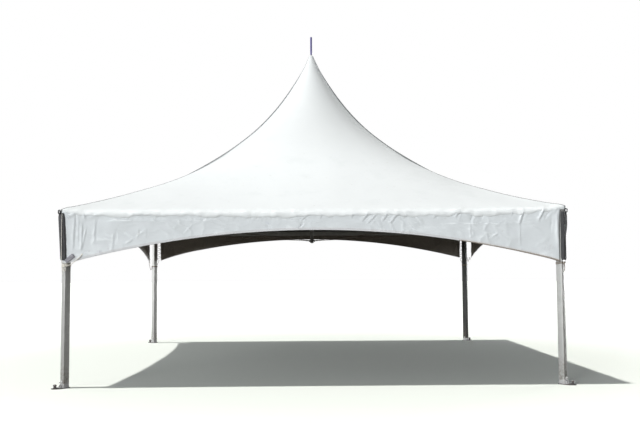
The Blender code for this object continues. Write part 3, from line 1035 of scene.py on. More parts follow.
FOLDS = {
    "front": FRONT_FOLDS,
    "right": side_folds(11),
    "rear": side_folds(23),
    "left": side_folds(37),
}
SLOT_WIDE = 0.05


def folds_by_slot(folds):
    """The folds that reach each short slot of the eave, so that few are tried at a point."""
    slots = {}
    for fold in folds:
        s0, _, s1, _, width, _ = fold
        first = math.floor((min(s0, s1) - 3 * width) / SLOT_WIDE)
        last = math.floor((max(s0, s1) + 3 * width) / SLOT_WIDE)
        for k in range(first, last + 1):
            slots.setdefault(k, []).append(fold)
    return slots


SLOTS = {side: folds_by_slot(folds) for side, folds in FOLDS.items()}


def stands_out(side, s, h):
    """How far the cloth stands out at s along a side, and h below its eave."""
    lift = 0.0
    for s0, h0, s1, h1, width, height in SLOTS[side].get(math.floor(s / SLOT_WIDE), ()):
        ds, dh = s1 - s0, h1 - h0
        length = math.hypot(ds, dh)
        along = ((s - s0) * ds + (h - h0) * dh) / (length * length)
        if -0.05 < along < 1.05:
            off = ((s - s0) * dh - (h - h0) * ds) / (length * width)
            off += 0.35 * noise.noise(Vector((along * length * 22, s0 * 7, h0 * 7)))
            if abs(off) < 3.2:
                crest = math.exp(-abs(off) ** 1.25)
                valley = 0.45 * math.exp(-(((off - 1.5) / 0.8) ** 2))
                taper = max(0.0, 4.4 * (along + 0.05) * (1.05 - along) / 1.21) ** 0.7
                lift += height * (crest - valley) * taper
    lift *= 1 + 0.9 * min(max((FOLDS_REACH - abs(s)) / 0.12, 0.0), 1.0)
    key = {"front": 0.0, "right": 9.0, "rear": 18.0, "left": 27.0}[side]
    spread = math.exp(-((h / 0.10) ** 2))
    place = Vector((s * 17 + h * 6, h * 5, key))
    pucker = (1 - abs(noise.noise(place))) ** 4 + 0.5 * noise.noise(place * 2.3)
    strength = 0.5 + noise.noise(Vector((s * 1.9, 0, key + 1)))
    lift += 0.0095 * (pucker - 0.3) * max(strength, 0.05) * spread
    if h > 0:
        broad = noise.noise(Vector((s * 1.4, h * 2.2, key + 3)))
        fine = noise.noise(Vector((s * 4.5 + h * 2, h * 5.5, key + 5)))
        settle = min(h / 0.15, 1.0)
        lift += settle * (0.008 * broad + 0.0062 * fine)
        crumple = 1 - abs(noise.noise(Vector((s * 6.5 - h * 5, h * 8 + s * 1.5, key + 7))))
        rubbed = min(max(0.5 + 1.6 * noise.noise(Vector((s * 1.7, h * 3, key + 9))), 0.1), 1.0)
        lift += settle * 0.0062 * rubbed * crumple**8
        patchy = 0.35 + 0.65 * min(max(0.5 + 1.4 * noise.noise(Vector((s * 2.6, 0, key + 11))), 0), 1)
        lift += patchy * 0.010 * math.exp(-(((h - 0.03) / 0.040) ** 2))
        lift -= patchy * 0.0035 * math.exp(-(((h - 0.10) / 0.03) ** 2))
    return lift


def shoulder(x, y):
    """How far the cloth falls away where it bends over the eave."""
    inside = max(EAVE - max(abs(x), abs(y)), 0.0)
    corner = max(2 * EAVE - abs(x) - abs(y), 0.0)
    if inside > SHOULDER:
        return 0.0
    bend = 1 - math.sqrt(1 - (1 - inside / SHOULDER) ** 2)
    uneven = 0.8 + 0.75 * noise.noise(Vector((x * 3.1, y * 3.1, 5)))
    uneven += 0.55 * noise.noise(Vector((x * 12, y * 12, 6)))
    return SHOULDER * bend * min(max(uneven, 0.2), 1.4) * min(0.35 + corner / 0.45, 1.0)


def edge_rise(x, y):
    """How far the cloth's edge wanders, and the front right corner pulls it up."""
    near_x = min(max(0.0, 1 - (EAVE - x) / PULL_REACH), 1.0)
    near_y = min(max(0.0, 1 - (EAVE + y) / PULL_REACH), 1.0)
    inside = max(EAVE - max(abs(x), abs(y)), 0.0)
    corner = max(2 * EAVE - abs(x) - abs(y), 0.0)
    lip = 0.0060 * noise.noise(Vector((x * 3.7, y * 3.7, 3)))
    lip += 0.0045 * noise.noise(Vector((x * 11, y * 11, 8)))
    if y < -EAVE * 0.9:
        lip -= 0.007 - 0.002 * x
    lip *= math.exp(-((inside / 0.028) ** 2)) * min(corner / 0.3, 1.0)
    return PULL_HIGH * (near_x * near_y) ** 1.3 + lip


def slope_height(m):
    """Height of the roof at a share m of the way from the peak to the eave."""
    k = 0
    while k < len(SLOPE) - 2 and m > SLOPE[k + 1][0]:
        k += 1

    def gradient(i):
        lo, hi = max(i - 1, 0), min(i + 1, len(SLOPE) - 1)
        rises = [
            (SLOPE[b][1] - SLOPE[a][1]) / (SLOPE[b][0] - SLOPE[a][0])
            for a, b in ((lo, i), (i, hi))
            if b > a
        ]
        return sum(rises) / len(rises)

    (m0, z0), (m1, z1) = SLOPE[k], SLOPE[k + 1]
    span = m1 - m0
    u = (m - m0) / span
    return (
        (2 * u**3 - 3 * u**2 + 1) * z0
        + (u**3 - 2 * u**2 + u) * span * gradient(k)
        + (3 * u**2 - 2 * u**3) * z1
        + (u**3 - u**2) * span * gradient(k + 1)
    )


def side_of(angle):
    """The side of the tent that a bearing lies in, and its share t of that side."""
    quarter = round(angle / (math.pi / 2))
    names = {-1: "front", 0: "right", 1: "rear", 2: "left", -2: "left"}
    return names[quarter], quarter, (angle - quarter * math.pi / 2) / (math.pi / 4)


def cloth_group():
    """The scrim of a coated cloth: fine crossed threads, as a height."""
    group, start, end = node_group(
        "scrim",
        [("Vector", "NodeSocketVector", None), ("Scale", "NodeSocketFloat", 300.0)],
        [("Height", "NodeSocketFloat")],
    )
    total = group.nodes.new("ShaderNodeMath")
    total.operation = "ADD"
    for k, axis in enumerate(("X", "Y")):
        wave = group.nodes.new("ShaderNodeTexWave")
        wave.bands_direction = axis
        wave.inputs["Distortion"].default_value = 0.6
        wave.inputs["Detail"].default_value = 1
        join(group, start.outputs["Vector"], wave.inputs["Vector"])
        join(group, start.outputs["Scale"], wave.inputs["Scale"])
        join(group, wave.outputs["Fac"], total.inputs[k])
    join(group, total.outputs[0], end.inputs["Height"])
    return group


SCRIM = cloth_group()


def scrim_height(finish, scale):
    """The scrim's height, on the cloth's own UV map."""
    node = finish.nodes.new("ShaderNodeGroup")
    node.node_tree = SCRIM
    node.inputs["Scale"].default_value = scale
    finish.link(finish.place.outputs["UV"], node.inputs["Vector"])
    return node.outputs["Height"]


# Painted shade on the front valance, as spots at the hem's crumples and underside and along the seam:
# place, reach along each axis, colour and share
PAINTED_SHADE_SPOTS = (
    ((-2.69, -3.04, 1.60), (0.060, 0.10, 0.035), (0.33, 0.30, 0.36), 0.35),
    ((-2.555, -3.04, 1.605), (0.045, 0.10, 0.040), (0.36, 0.31, 0.37), 0.35),
    ((-2.46, -3.04, 1.635), (0.050, 0.10, 0.025), (0.40, 0.36, 0.40), 0.35),
    ((-2.935, -3.04, 2.02), (0.050, 0.10, 0.045), (0.42, 0.42, 0.45), 0.4),
    ((2.81, -3.04, 1.625), (0.120, 0.10, 0.075), (0.48, 0.47, 0.50), 0.22),
    ((2.845, -3.04, 1.635), (0.030, 0.10, 0.065), (0.55, 0.50, 0.40), 0.16),
    ((-0.56, -3.04, 1.945), (0.070, 0.10, 0.030), (0.55, 0.58, 0.68), 0.5),
    ((1.98, -3.04, 2.085), (0.120, 0.10, 0.040), (0.58, 0.64, 0.58), 0.5),
)


def white_vinyl(name, colour, crinkle, hips=False):
    """Coated cloth, white side: satin, with scrim, crinkles, water marks and light soil; painted
    shade on the roof's top and hips, and in spots on the valance.
    """
    vinyl = Finish(name, colour, 0.6)
    vinyl.body.inputs["Specular IOR Level"].default_value = 0.22
    where = vinyl.stretched((1, 1, 1))
    flat = vinyl.stretched((1, 1, 1), "UV")
    drawn = vinyl.stretched((1.0, 2.6, 1.0), "UV")
    vinyl.tint(vinyl.mottle(where, 0.9, 0.35, 0.7), tuple(c * 0.965 for c in colour), 0.8)
    vinyl.tint(vinyl.mottle(where, 3.3, 0.52, 0.72), (0.66, 0.70, 0.70), 0.22)
    vinyl.tint(vinyl.mottle(where, 15, 0.62, 0.74), (0.56, 0.55, 0.50), 0.25)
    vinyl.vary("Roughness", vinyl.mottle(where, 6, 0.3, 0.7), 0, 1, 0.56, 0.74)
    creases = vinyl.nodes.new("ShaderNodeTexNoise")
    creases.noise_type = "RIDGED_MULTIFRACTAL"
    creases.inputs["Scale"].default_value = 5.5
    creases.inputs["Detail"].default_value = 3
    creases.inputs["Distortion"].default_value = 0.5
    vinyl.link(flat, creases.inputs["Vector"])
    vinyl.bump(creases.outputs["Fac"], 0.009, crinkle)
    ripple = vinyl.nodes.new("ShaderNodeTexNoise")
    ripple.inputs["Scale"].default_value = 2.4
    ripple.inputs["Detail"].default_value = 2
    vinyl.link(drawn, ripple.inputs["Vector"])
    vinyl.bump(ripple.outputs["Fac"], 0.02, crinkle)
    vinyl.bump(scrim_height(vinyl, 300), 0.0002, 0.25)
    if hips:
        parts = vinyl.nodes.new("ShaderNodeSeparateXYZ")
        vinyl.link(vinyl.place.outputs["Object"], parts.inputs[0])
        x_off = vinyl.maths("ABSOLUTE", parts.outputs["X"], 0)
        y_off = vinyl.maths("ABSOLUTE", parts.outputs["Y"], 0)
        apart = vinyl.maths("ABSOLUTE", vinyl.maths("SUBTRACT", x_off, y_off), 0)
        hip_seam_and_outline = vinyl.remap(apart, 0.030, 0.024)
        low_down = vinyl.remap(vinyl.maths("ADD", x_off, y_off), 2.2, 3.4, 0.04, 1.0)
        # The cloth is painted darker from 2.7 m to 3.7 m up, to tone down the light on the cone:
        # painted shade
        vinyl.tint(vinyl.remap(parts.outputs["Z"], 2.7, 3.7), tuple(c * 0.88 for c in colour))
        # Low down the hip seams are painted dark grey, a painted shade line along the roof's outline;
        # the seam and its bump are real
        vinyl.tint(vinyl.maths("MULTIPLY", hip_seam_and_outline, low_down), (0.30, 0.31, 0.315), 0.85)
        vinyl.bump(hip_seam_and_outline, 0.0012, 0.5)
        # The coating is glossy where it is seen at a glancing angle and high up the cone, and its
        # dark tint dims the cloth there: gloss, with a painted dark outline
        grazed = vinyl.nodes.new("ShaderNodeLayerWeight")
        grazed.inputs["Blend"].default_value = 0.5
        high_up = vinyl.remap(parts.outputs["Z"], 3.2, 4.4, 0.0, 0.15)
        edge_on = vinyl.maths("ADD", grazed.outputs["Facing"], high_up)
        vinyl.link(vinyl.remap(edge_on, 0.88, 0.94), vinyl.body.inputs["Coat Weight"])
        vinyl.body.inputs["Coat Roughness"].default_value = 0.25
        vinyl.body.inputs["Coat IOR"].default_value = 2.0
        vinyl.body.inputs["Coat Tint"].default_value = (0.45, 0.46, 0.47, 1.0)
        return vinyl.material
    hem_place = vinyl.nodes.new("ShaderNodeUVMap")
    hem_place.uv_map = "hem"
    parts = vinyl.nodes.new("ShaderNodeSeparateXYZ")
    vinyl.link(hem_place.outputs["UV"], parts.inputs[0])
    along, above = parts.outputs["X"], parts.outputs["Y"]
    vinyl.tint(vinyl.remap(above, 0.034, 0.028), (0.70, 0.67, 0.67), 0.35)
    beat = vinyl.maths("SINE", vinyl.maths("MULTIPLY", along, 900), 0)
    dash = vinyl.maths("GREATER_THAN", beat, -0.5)
    rows = []
    for row_high in (0.0255, 0.0195):
        off = vinyl.maths("ABSOLUTE", vinyl.maths("SUBTRACT", above, row_high), 0)
        rows.append(vinyl.remap(off, 0.0011, 0.0006))
    stitches = vinyl.maths("MULTIPLY", vinyl.maths("ADD", *rows), dash)
    vinyl.tint(stitches, (0.55, 0.55, 0.53), 0.6)
    vinyl.bump(stitches, 0.0006, 0.8)
    # Spots of painted shade on the hem and seam
    for centre, reach, tone, share in PAINTED_SHADE_SPOTS:
        vinyl.spot_tint(centre, reach, tone, share)
    return vinyl.material


def dark_lining(name, colour):
    """Coated cloth, blackout side: brownish black, with soft blotches and scrim."""
    lining = Finish(name, colour, 0.62)
    where = lining.stretched((1, 1, 1))
    lining.tint(lining.mottle(where, 1.3, 0.35, 0.7), tuple(c * 0.74 for c in colour), 0.8)
    lining.tint(lining.mottle(where, 8, 0.5, 0.75), tuple(c * 1.3 for c in colour), 0.5)
    lining.bump(lining.mottle(where, 5, 0.2, 0.8), 0.004, 0.5)
    lining.bump(scrim_height(lining, 300), 0.0003, 0.5)
    return lining.material


ROOF_VINYL = white_vinyl("roof_vinyl", (0.80, 0.825, 0.83), 0.10, hips=True)
ROOF_LINING = dark_lining("roof_lining", (0.105, 0.095, 0.083))
# The valances' lining is the same blackout cloth, painted about three times lighter than the roof's
# for the light thrown up from the ground: painted light
LIT_VALANCE_LINING = dark_lining("valance_lining", (0.34, 0.30, 0.262))


def two_layer(piece):
    """Give a sheet its thickness, with the lining as its inner face."""
    layers = piece.modifiers.new("thickness", "SOLIDIFY")
    layers.thickness = SHEET_THICK
    layers.offset = -1
    layers.material_offset = 1
    layers.material_offset_rim = 0


# Rings of the sheet, from the hole at the peak to the eave, closer together at the bends
stations = [SPIRE_HOLE / EAVE, 0.0115, 0.0140, 0.018, 0.025, 0.034, 0.045, 0.058, 0.073, 0.09]
stations += [0.11 + 0.025 * k for k in range(30)]
stations += [0.855 + 0.0162 * k for k in range(8)]
stations += [1 - d / EAVE for d in (0.066, 0.046, 0.038, 0.030, 0.022, 0.015, 0.009, 0.0045, 0.0015)]
profile = [(m * EAVE, slope_height(m)) for m in stations]
profile += [(EAVE + 0.0016, EAVE_HIGH - 0.003), (EAVE + 0.0026, EAVE_HIGH - 0.010)]
profile += [(EAVE + 0.0026, EAVE_HIGH - 0.019), (EAVE + 0.0022, EAVE_HIGH - TURNED_DOWN)]
bm = bmesh.new()
line = [bm.verts.new((r, 0, z)) for r, z in profile]
edges = [bm.edges.new(pair) for pair in zip(line, line[1:])]
bmesh.ops.spin(
    bm, geom=line + edges, cent=(0, 0, 0), axis=(0, 0, 1), angle=2 * math.pi, steps=720,
    use_merge=True,
)
bmesh.ops.remove_doubles(bm, verts=bm.verts, dist=1e-6)

# The round sheet is drawn out to the square of the eave, sagged, folded and creased
for v in bm.verts:
    r, angle = v.co.xy.length, math.atan2(v.co.y, v.co.x)
    side, quarter, t = side_of(angle)
    m = min(r / EAVE, 1.0)
    t = min(max(t, -1.0), 1.0)
    span = math.hypot(t, 1.0)
    square = max(0.0, (m - 0.05) / 0.95)
    rounded = min(max(1.6 - 2.0 * m, 0.0), 1.0)
    flare = math.hypot(abs(t) - rounded * 1.11 * max(abs(t) - 0.55, 0.0) ** 2, 1.0)
    rho = r / ((1 - square) + square / flare)
    rho = min(rho, (EAVE + 0.003) * math.sqrt(2) - 0.010)
    turn = quarter * math.pi / 2 + math.atan(t)
    sag = EAVE_SAG * (1 - t * t) * max(0.0, (m - 0.7) / 0.3) ** 2
    out = Vector((math.cos(turn), math.sin(turn), 0))
    s = rho * t / span
    fallen = shoulder(out.x * rho, out.y * rho)
    h = ((r - EAVE) * 1.13 if r < EAVE else (EAVE_HIGH - v.co.z)) + fallen
    lift = 0.0
    if h > -0.32:
        lift = stands_out(side, s, h) * (1.0 if h > -0.05 else math.exp(-((h + 0.05) / 0.09) ** 2))
    tension = 0.0025 * noise.noise(Vector((s * 2.2, r * 0.9, quarter * 4.0))) * min(r / 1.2, 1.0)
    facing = Vector((math.cos(quarter * math.pi / 2), math.sin(quarter * math.pi / 2), 0))
    if r > EAVE:
        up = facing
    else:
        up = (facing * 0.45 + Vector((0, 0, 0.89))) if m > 0.6 else Vector((0, 0, 1))
    ends = 1 - abs(t) ** 24
    turned_down = 0.0
    if r > EAVE - 0.001:
        turned_down = min(max((EAVE_HIGH - v.co.z) / TURNED_DOWN, 0.0), 1.0)
    v.co = out * rho + Vector((0, 0, v.co.z - sag)) + up * ((lift + tension) * ends)
    corner = math.hypot(EAVE - abs(v.co.x), EAVE - abs(v.co.y))
    hip = math.exp(-(((abs(v.co.x) - abs(v.co.y)) / 0.13) ** 2)) * math.exp(-((corner / 0.8) ** 2))
    ear = 0.014 * math.exp(-((corner / 0.12) ** 2)) * (1 - turned_down)
    v.co.z += edge_rise(v.co.x, v.co.y) + ear + 0.012 * hip * min(corner / 0.1, 1.0) - fallen
bm.normal_update()
if sum(f.normal.z for f in bm.faces) < 0:
    bmesh.ops.reverse_faces(bm, faces=bm.faces)
uv = bm.loops.layers.uv.new("cloth")
for f in bm.faces:
    centre = f.calc_center_median()
    quarter = round(math.atan2(centre.y, centre.x) / (math.pi / 2))
    back = Matrix.Rotation(-quarter * math.pi / 2, 3, "Z")
    for loop in f.loops:
        flat = back @ loop.vert.co
        loop[uv].uv = (flat.y + 8 * quarter, (EAVE - flat.x) * 0.62 + flat.z * 0.9)
roof = fit_piece(
    "canopy_roof",
    bm,
    [ROOF_VINYL, ROOF_LINING],
    ["canopy_panel_" + side for side in TURN],
    corner=70,
)
two_layer(roof)

# Peak boot
# A white cloth collar closes the canopy's peak round the spire. A thin steel band clamps
# its upper end to the rod.
boot = turned_piece(
    (
        (0.046, slope_height(0.046 / EAVE) + 0.0015), (0.040, slope_height(0.040 / EAVE) + 0.003),
        (0.034, slope_height(0.034 / EAVE) + 0.003), (0.0280, 4.744), (0.0200, 4.748),
        (0.0174, 4.751), (0.0170, 4.762), (0.0155, 4.764), (0.0155, 4.70), (0.030, 4.60),
    ),
    56,
)
fit_piece("peak_boot", boot, [ROOF_VINYL])
band = turned_piece(
    ((0.0172, 4.752), (0.0182, 4.753), (0.0182, 4.760), (0.0172, 4.761), (0.0168, 4.756)), 48
)
fit_piece("peak_band", band, [BOLT_ZINC])

# Valances
# Strips of the same cloth hang from the eave seam, with an arched lower edge that is
# rolled into a hem. Storage folds and gathers at the seam still show.
VALANCE_SLANT = 0.02
HEM_RADIUS = 0.0055
HEM_STARTS = 0.84
VALANCE_VINYL = white_vinyl("valance_vinyl", (0.79, 0.825, 0.845), 0.6)

# Depth of the lower edge at the middle and at the ends, and reach to the left and right
VALANCES = {
    "front": (0.232, 0.653, 3.005, 2.955),
    "right": (0.18, 0.60, 2.99, 2.66),
    "rear": (0.14, 0.555, 2.905, 2.88),
    "left": (0.18, 0.60, 2.83, 2.99),
}

# Ends that the lashings drag down: side, direction, where it begins, length and depth
LOW_ENDS = (
    ("left", -1, 2.0, 0.83, 0.060),
    ("right", 1, 1.9, 0.76, 0.023),
    ("rear", 1, 2.2, 0.65, 0.036),
)


def valance_drop(side, s):
    """Depth of the lower edge below the level of the corners."""
    mid, end, left, right = VALANCES[side]
    t = s / EAVE
    drop = EAVE_SAG + mid + (end - mid - EAVE_SAG) * t * t
    if side == "front":
        drop += 0.006 * math.exp(-(((s - 2.93) / 0.07) ** 2))
    for where, sign, begins, length, dip in LOW_ENDS:
        if side == where and s * sign > begins:
            drop += dip * ((s * sign - begins) / length) ** 2
    return drop


# Each strip is a grid that hangs down from the seam, and below HEM_STARTS rolls up
for side, degrees in TURN.items():
    mid, end, left, right = VALANCES[side]
    bm = bmesh.new()
    bmesh.ops.create_grid(bm, x_segments=560, y_segments=44, size=0.5)
    uv = bm.loops.layers.uv.new("cloth")
    spots = {}
    for v in bm.verts:
        u, fall = v.co.x + 0.5, 0.5 - v.co.y
        hang = min(fall / HEM_STARTS, 1.0)
        s = (right + left - 2 * VALANCE_SLANT * hang) * (u - 0.5) + (right - left) / 2
        t = s / EAVE
        rise = edge_rise(*(Matrix.Rotation(math.radians(degrees), 2) @ Vector((s, -EAVE))))
        fallen = shoulder(*(Matrix.Rotation(math.radians(degrees), 2) @ Vector((s, -EAVE))))
        top = 0.0045 + EAVE_SAG * (1 - t * t) - rise + fallen
        bottom = valance_drop(side, s) - HEM_RADIUS
        h = top + (bottom - top) * hang**1.2
        out = stands_out(side, s, h - EAVE_SAG * (1 - t * t) + rise)
        out += 0.0012 * min(max((h - bottom + 0.030) / 0.002, 0.0), 1.0)
        out += 0.003 * noise.noise(Vector((s * 3.1, 0, 40 + degrees))) * hang
        spots[v] = (s, h, bottom + HEM_RADIUS - h)
        if fall > HEM_STARTS:
            curl, turned_out = HEM_RADIUS, -1.0
            if side == "front" and s > 1.6:
                curl += 0.0035 * min((s - 1.6) / 1.25, 1.0) ** 2
                turned_out = min(max((s - 1.75) / 0.12, -1.0), 1.0)
            roll = math.radians(300) * (fall - HEM_STARTS) / (1 - HEM_STARTS)
            out += turned_out * curl * (1 - math.cos(roll))
            h = bottom + curl * math.sin(roll)
            spots[v] = (s, bottom + curl * roll, -curl * roll)
        v.co = Vector((s, -EAVE - max(out, -0.012), EAVE_HIGH - h))
    hem_uv = bm.loops.layers.uv.new("hem")
    for f in bm.faces:
        for loop in f.loops:
            s, h, above = spots[loop.vert]
            loop[uv].uv = (s, -h)
            loop[hem_uv].uv = (s, above)
    bm.normal_update()
    if sum(f.normal.y for f in bm.faces) > 0:
        bmesh.ops.reverse_faces(bm, faces=bm.faces)
    bmesh.ops.rotate(bm, matrix=Matrix.Rotation(math.radians(degrees), 3, "Z"), verts=bm.verts)
    piece = fit_piece(
        "valance_cloth_" + side, bm, [VALANCE_VINYL, LIT_VALANCE_LINING], ["valance_" + side],
        corner=70,
    )
    two_layer(piece)

# Corner straps
# Dark webbing hangs in two looped bands from a steel ring at each corner, over the ends
# of the valances. Each band is doubled and turns back at its foot. A tab holds the ring.


def strap_webbing():
    """Black polyester webbing in a twill weave, dusty in patches."""
    webbing = Finish("strap_webbing", (0.058, 0.058, 0.062), 0.72)
    flat = webbing.stretched((1, 1, 1), "UV")
    rows = webbing.nodes.new("ShaderNodeTexWave")
    rows.wave_profile = "TRI"
    rows.bands_direction = "DIAGONAL"
    rows.inputs["Scale"].default_value = 160
    rows.inputs["Distortion"].default_value = 0.3
    webbing.link(flat, rows.inputs["Vector"])
    ribs = webbing.nodes.new("ShaderNodeTexWave")
    ribs.bands_direction = "X"
    ribs.inputs["Scale"].default_value = 110
    webbing.link(flat, ribs.inputs["Vector"])
    weave = webbing.maths("MULTIPLY", rows.outputs["Fac"], ribs.outputs["Fac"])
    webbing.tint(weave, (0.085, 0.085, 0.09), 0.6)
    webbing.tint(webbing.mottle(webbing.stretched((1, 1, 1)), 9, 0.45, 0.7), (0.12, 0.115, 0.11), 0.5)
    webbing.bump(weave, 0.0009, 0.8)
    return webbing.material


def ring_steel():
    """Blackened steel, worn bright in spots."""
    steel = Finish("ring_steel", (0.055, 0.055, 0.06), 0.42, 0.6)
    where = steel.stretched((1, 1, 1))
    steel.tint(steel.mottle(where, 70, 0.56, 0.68), (0.30, 0.29, 0.28), 0.7)
    steel.bump(steel.mottle(where, 90, 0.3, 0.7), 0.0005, 0.4)
    return steel.material


WEBBING = strap_webbing()
RING = ring_steel()

# Height of each strap's lower end
BAND_FOOT = {"fl": 1.503, "fr": 1.478, "rl": 1.495, "rr": 1.495}

# For each corner, distances from the tent's middle of a strap's outer edge, the line
# between its bands, and its inner edge: at the ring, then at the foot. Then the ring's
# distance, height and turn about the upright
STRAPS = {
    "fl": ((3.064, 3.003, 2.984), (3.018, 3.000, 2.948), (3.036, 2.079, 80)),
    "fr": ((3.050, 2.996, 2.955), (3.022, 2.996, 2.951), (3.024, 2.078, 35)),
    "rl": ((3.034, 2.990, 2.950), (3.008, 2.988, 2.946), (3.010, 2.090, 25)),
    "rr": ((3.034, 2.990, 2.950), (3.008, 2.988, 2.946), (3.010, 2.090, -30)),
}
RING_RADIUS, RING_THICK = 0.0225, 0.0072

# How far out bands and ring hang, and the share of its length at which a band turns back
BAND_FACE, RING_FACE = 3.0475, 3.049
FOOT_TURN = 0.985


def strap_band(tag, outer_one):
    """One looped band: x is its distance from the middle, y how far out it lies."""
    above, below, ring_at = STRAPS[tag]
    foot = BAND_FOOT[tag]
    band_top = ring_at[1] - RING_RADIUS + RING_THICK + 0.003
    bm = bmesh.new()
    bmesh.ops.create_grid(bm, x_segments=10, y_segments=110, size=0.5)
    uv = bm.loops.layers.uv.new("webbing")
    spots = {}
    for v in bm.verts:
        u, w = v.co.x + 0.5, v.co.y + 0.5
        down = 1 - abs(w - 0.5) * 2
        front = 1 if w < 0.5 else -1
        reach = min(down / FOOT_TURN, 1.0)
        ease = min(max((reach - 0.25) / 0.3, 0.0), 1.0)
        ease = ease * ease * (3 - 2 * ease)
        split = above[1] + (below[1] - above[1]) * reach
        if outer_one:
            near = split + 0.0022
            far = above[0] + (below[0] - above[0]) * (ease if tag == "fr" else reach)
        else:
            near = split - 0.0022
            far = above[2] + (below[2] - above[2]) * reach
        round_off = 1 - 0.30 * max(0.0, (reach - 0.93) / 0.07) ** 3
        gather = 1 - 0.22 * math.exp(-((down / 0.05) ** 2))
        x = near + (far - near) * u * round_off * gather
        fold = 0.0032 + 0.0045 * max(0.0, (reach - 0.86) / 0.14) ** 2
        z = band_top - (band_top - foot - fold) * reach
        out = fold * front
        if down > FOOT_TURN:
            a = (down - FOOT_TURN) / (1 - FOOT_TURN) * math.pi / 2
            z = foot + fold - fold * math.sin(a)
            out = fold * front * math.cos(a)
        away = abs(x - split)
        out -= away * (0.95 if outer_one else 0.12)
        out += 0.0022 * noise.noise(Vector((u * 1.5, z * 7, len(tag) + outer_one * 3)))
        z += 0.006 * (u - 0.5) * (1 if outer_one else -1) * math.exp(-((1 - reach) / 0.05) ** 2)
        spots[v] = (u * 0.045, w * 1.2)
        v.co = Vector((x, out, z))
    for f in bm.faces:
        for loop in f.loops:
            loop[uv].uv = spots[loop.vert]
    bmesh.ops.recalc_face_normals(bm, faces=bm.faces)
    return bm


for tag in CORNERS:
    low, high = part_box("corner_strap_" + tag)
    middle = (low + high) / 2
    sx, sy = math.copysign(1, middle.x), math.copysign(1, middle.y)
    bands = bmesh.new()
    for outer_one in (False, True):
        add_to(bands, strap_band(tag, outer_one))
    for v in bands.verts:
        v.co.x, v.co.y = sx * v.co.x, sy * (BAND_FACE + v.co.y)
    bmesh.ops.recalc_face_normals(bands, faces=bands.faces)
    piece = fit_piece(
        "strap_bands_" + tag, bands, [WEBBING], ["corner_strap_" + tag], corner=60
    )
    thick = piece.modifiers.new("thickness", "SOLIDIFY")
    thick.thickness = 0.0020
    thick.offset = 0

    ring_out, ring_high, ring_turn = STRAPS[tag][2]
    turn = Matrix.Rotation(math.radians(ring_turn), 3, "Z")
    centre = Vector((sx * ring_out, sy * RING_FACE, ring_high))
    ring_line = [
        centre + turn @ Vector((RING_RADIUS * math.cos(a), 0, RING_RADIUS * math.sin(a)))
        for a in (2 * math.pi * k / 48 for k in range(48))
    ]
    ring = swept_line(ring_line, RING_THICK, sides=14, closed=True)
    fit_piece("strap_ring_" + tag, ring, [RING], corner=60)

    tab = bmesh.new()
    bmesh.ops.create_grid(tab, x_segments=6, y_segments=40, size=0.5)
    uv = tab.loops.layers.uv.new("cloth")
    tab.loops.layers.uv.new("hem")
    for f in tab.faces:
        for loop in f.loops:
            loop[uv].uv = (loop.vert.co.x * 0.02, loop.vert.co.y * 0.09)
    for v in tab.verts:
        u, w = v.co.x, v.co.y
        a = min(max(w * 2, -0.5), 0.5) * math.pi
        back = max(abs(w) - 0.25, 0.0) * 4
        out = (RING_THICK + 0.0014) * math.cos(a) - 0.016 * back
        up = (RING_THICK + 0.0014) * math.sin(a) * (1 + 0.2 * back)
        x = ring_out - 0.004 + u * 0.017
        v.co = Vector((sx * x, sy * (RING_FACE + out), ring_high + RING_RADIUS + up))
    bmesh.ops.recalc_face_normals(tab, faces=tab.faces)
    tab_piece = fit_piece("ring_tab_" + tag, tab, [VALANCE_VINYL], corner=60)
    tab_thick = tab_piece.modifiers.new("thickness", "SOLIDIFY")
    tab_thick.thickness = 0.0012
    tab_thick.offset = 0

# Corner lashings
# Three-strand rope, wound round each leg under the valance. It is cream at the front left,
# where it holds the hem's corner by a tab and an eyelet, and weathered brown elsewhere.
ROPE_RADIUS = 0.0050
TIE_HIGH = 1.445


def tie_rope(name, colour, soil, share):
    """Rope fibre: patchy, with soil rubbed in."""
    rope = Finish(name, colour, 0.85)
    where = rope.stretched((1, 1, 1))
    rope.tint(rope.mottle(where, 24, 0.4, 0.7), tuple(c * 0.82 for c in colour), 0.6)
    rope.tint(rope.mottle(where, 90, 0.55, 0.7), soil, share)
    rope.bump(rope.mottle(where, 500, 0.3, 0.7), 0.0008, 0.7)
    return rope.material


ROPE = tie_rope("lashing_rope", (0.86, 0.83, 0.76), (0.50, 0.44, 0.36), 0.5)
BROWN_ROPE = tie_rope("weathered_rope", (0.26, 0.215, 0.17), (0.12, 0.09, 0.07), 0.6)


def rope(points, closed=False, radius=ROPE_RADIUS):
    """Three-strand rope along a smooth route through the points."""
    route = smooth_route(points, 0.0035, closed)
    return swept_line(
        route, radius, sides=12, lobes=3, pitch=radius * 5.6, groove=0.28, closed=closed
    )


def windings(turns, pitch, height, slant=0.0):
    """Points of a rope wound round a turned leg, in the corner's own axes."""
    reach = LEG_SIDE / 2 + ROPE_RADIUS + 0.0008
    points = []
    for k in range(turns * 12 + 1):
        a = math.pi / 6 * k
        c, s = math.cos(a), math.sin(a)
        flat = max(abs(c), abs(s))
        far = min(reach / flat, reach * 1.30)
        dip = slant * math.sin(a + k * 0.11) + 0.002 * noise.noise(Vector((k * 0.7, slant * 90, 0)))
        points.append((far * c, far * s, height + pitch * k / 12 + dip))
    return points


def eyelet(at):
    """A pressed grommet: a rolled rim on each side of the cloth, about a round hole."""
    rim = turned_piece(
        (
            (0.0052, -0.0022), (0.0086, -0.0026), (0.0100, -0.0014), (0.0100, 0.0014),
            (0.0086, 0.0026), (0.0052, 0.0022),
        ),
        24,
    )
    bmesh.ops.transform(rim, matrix=at @ Matrix.Rotation(math.radians(90), 4, "X"), verts=rim.verts)
    return rim


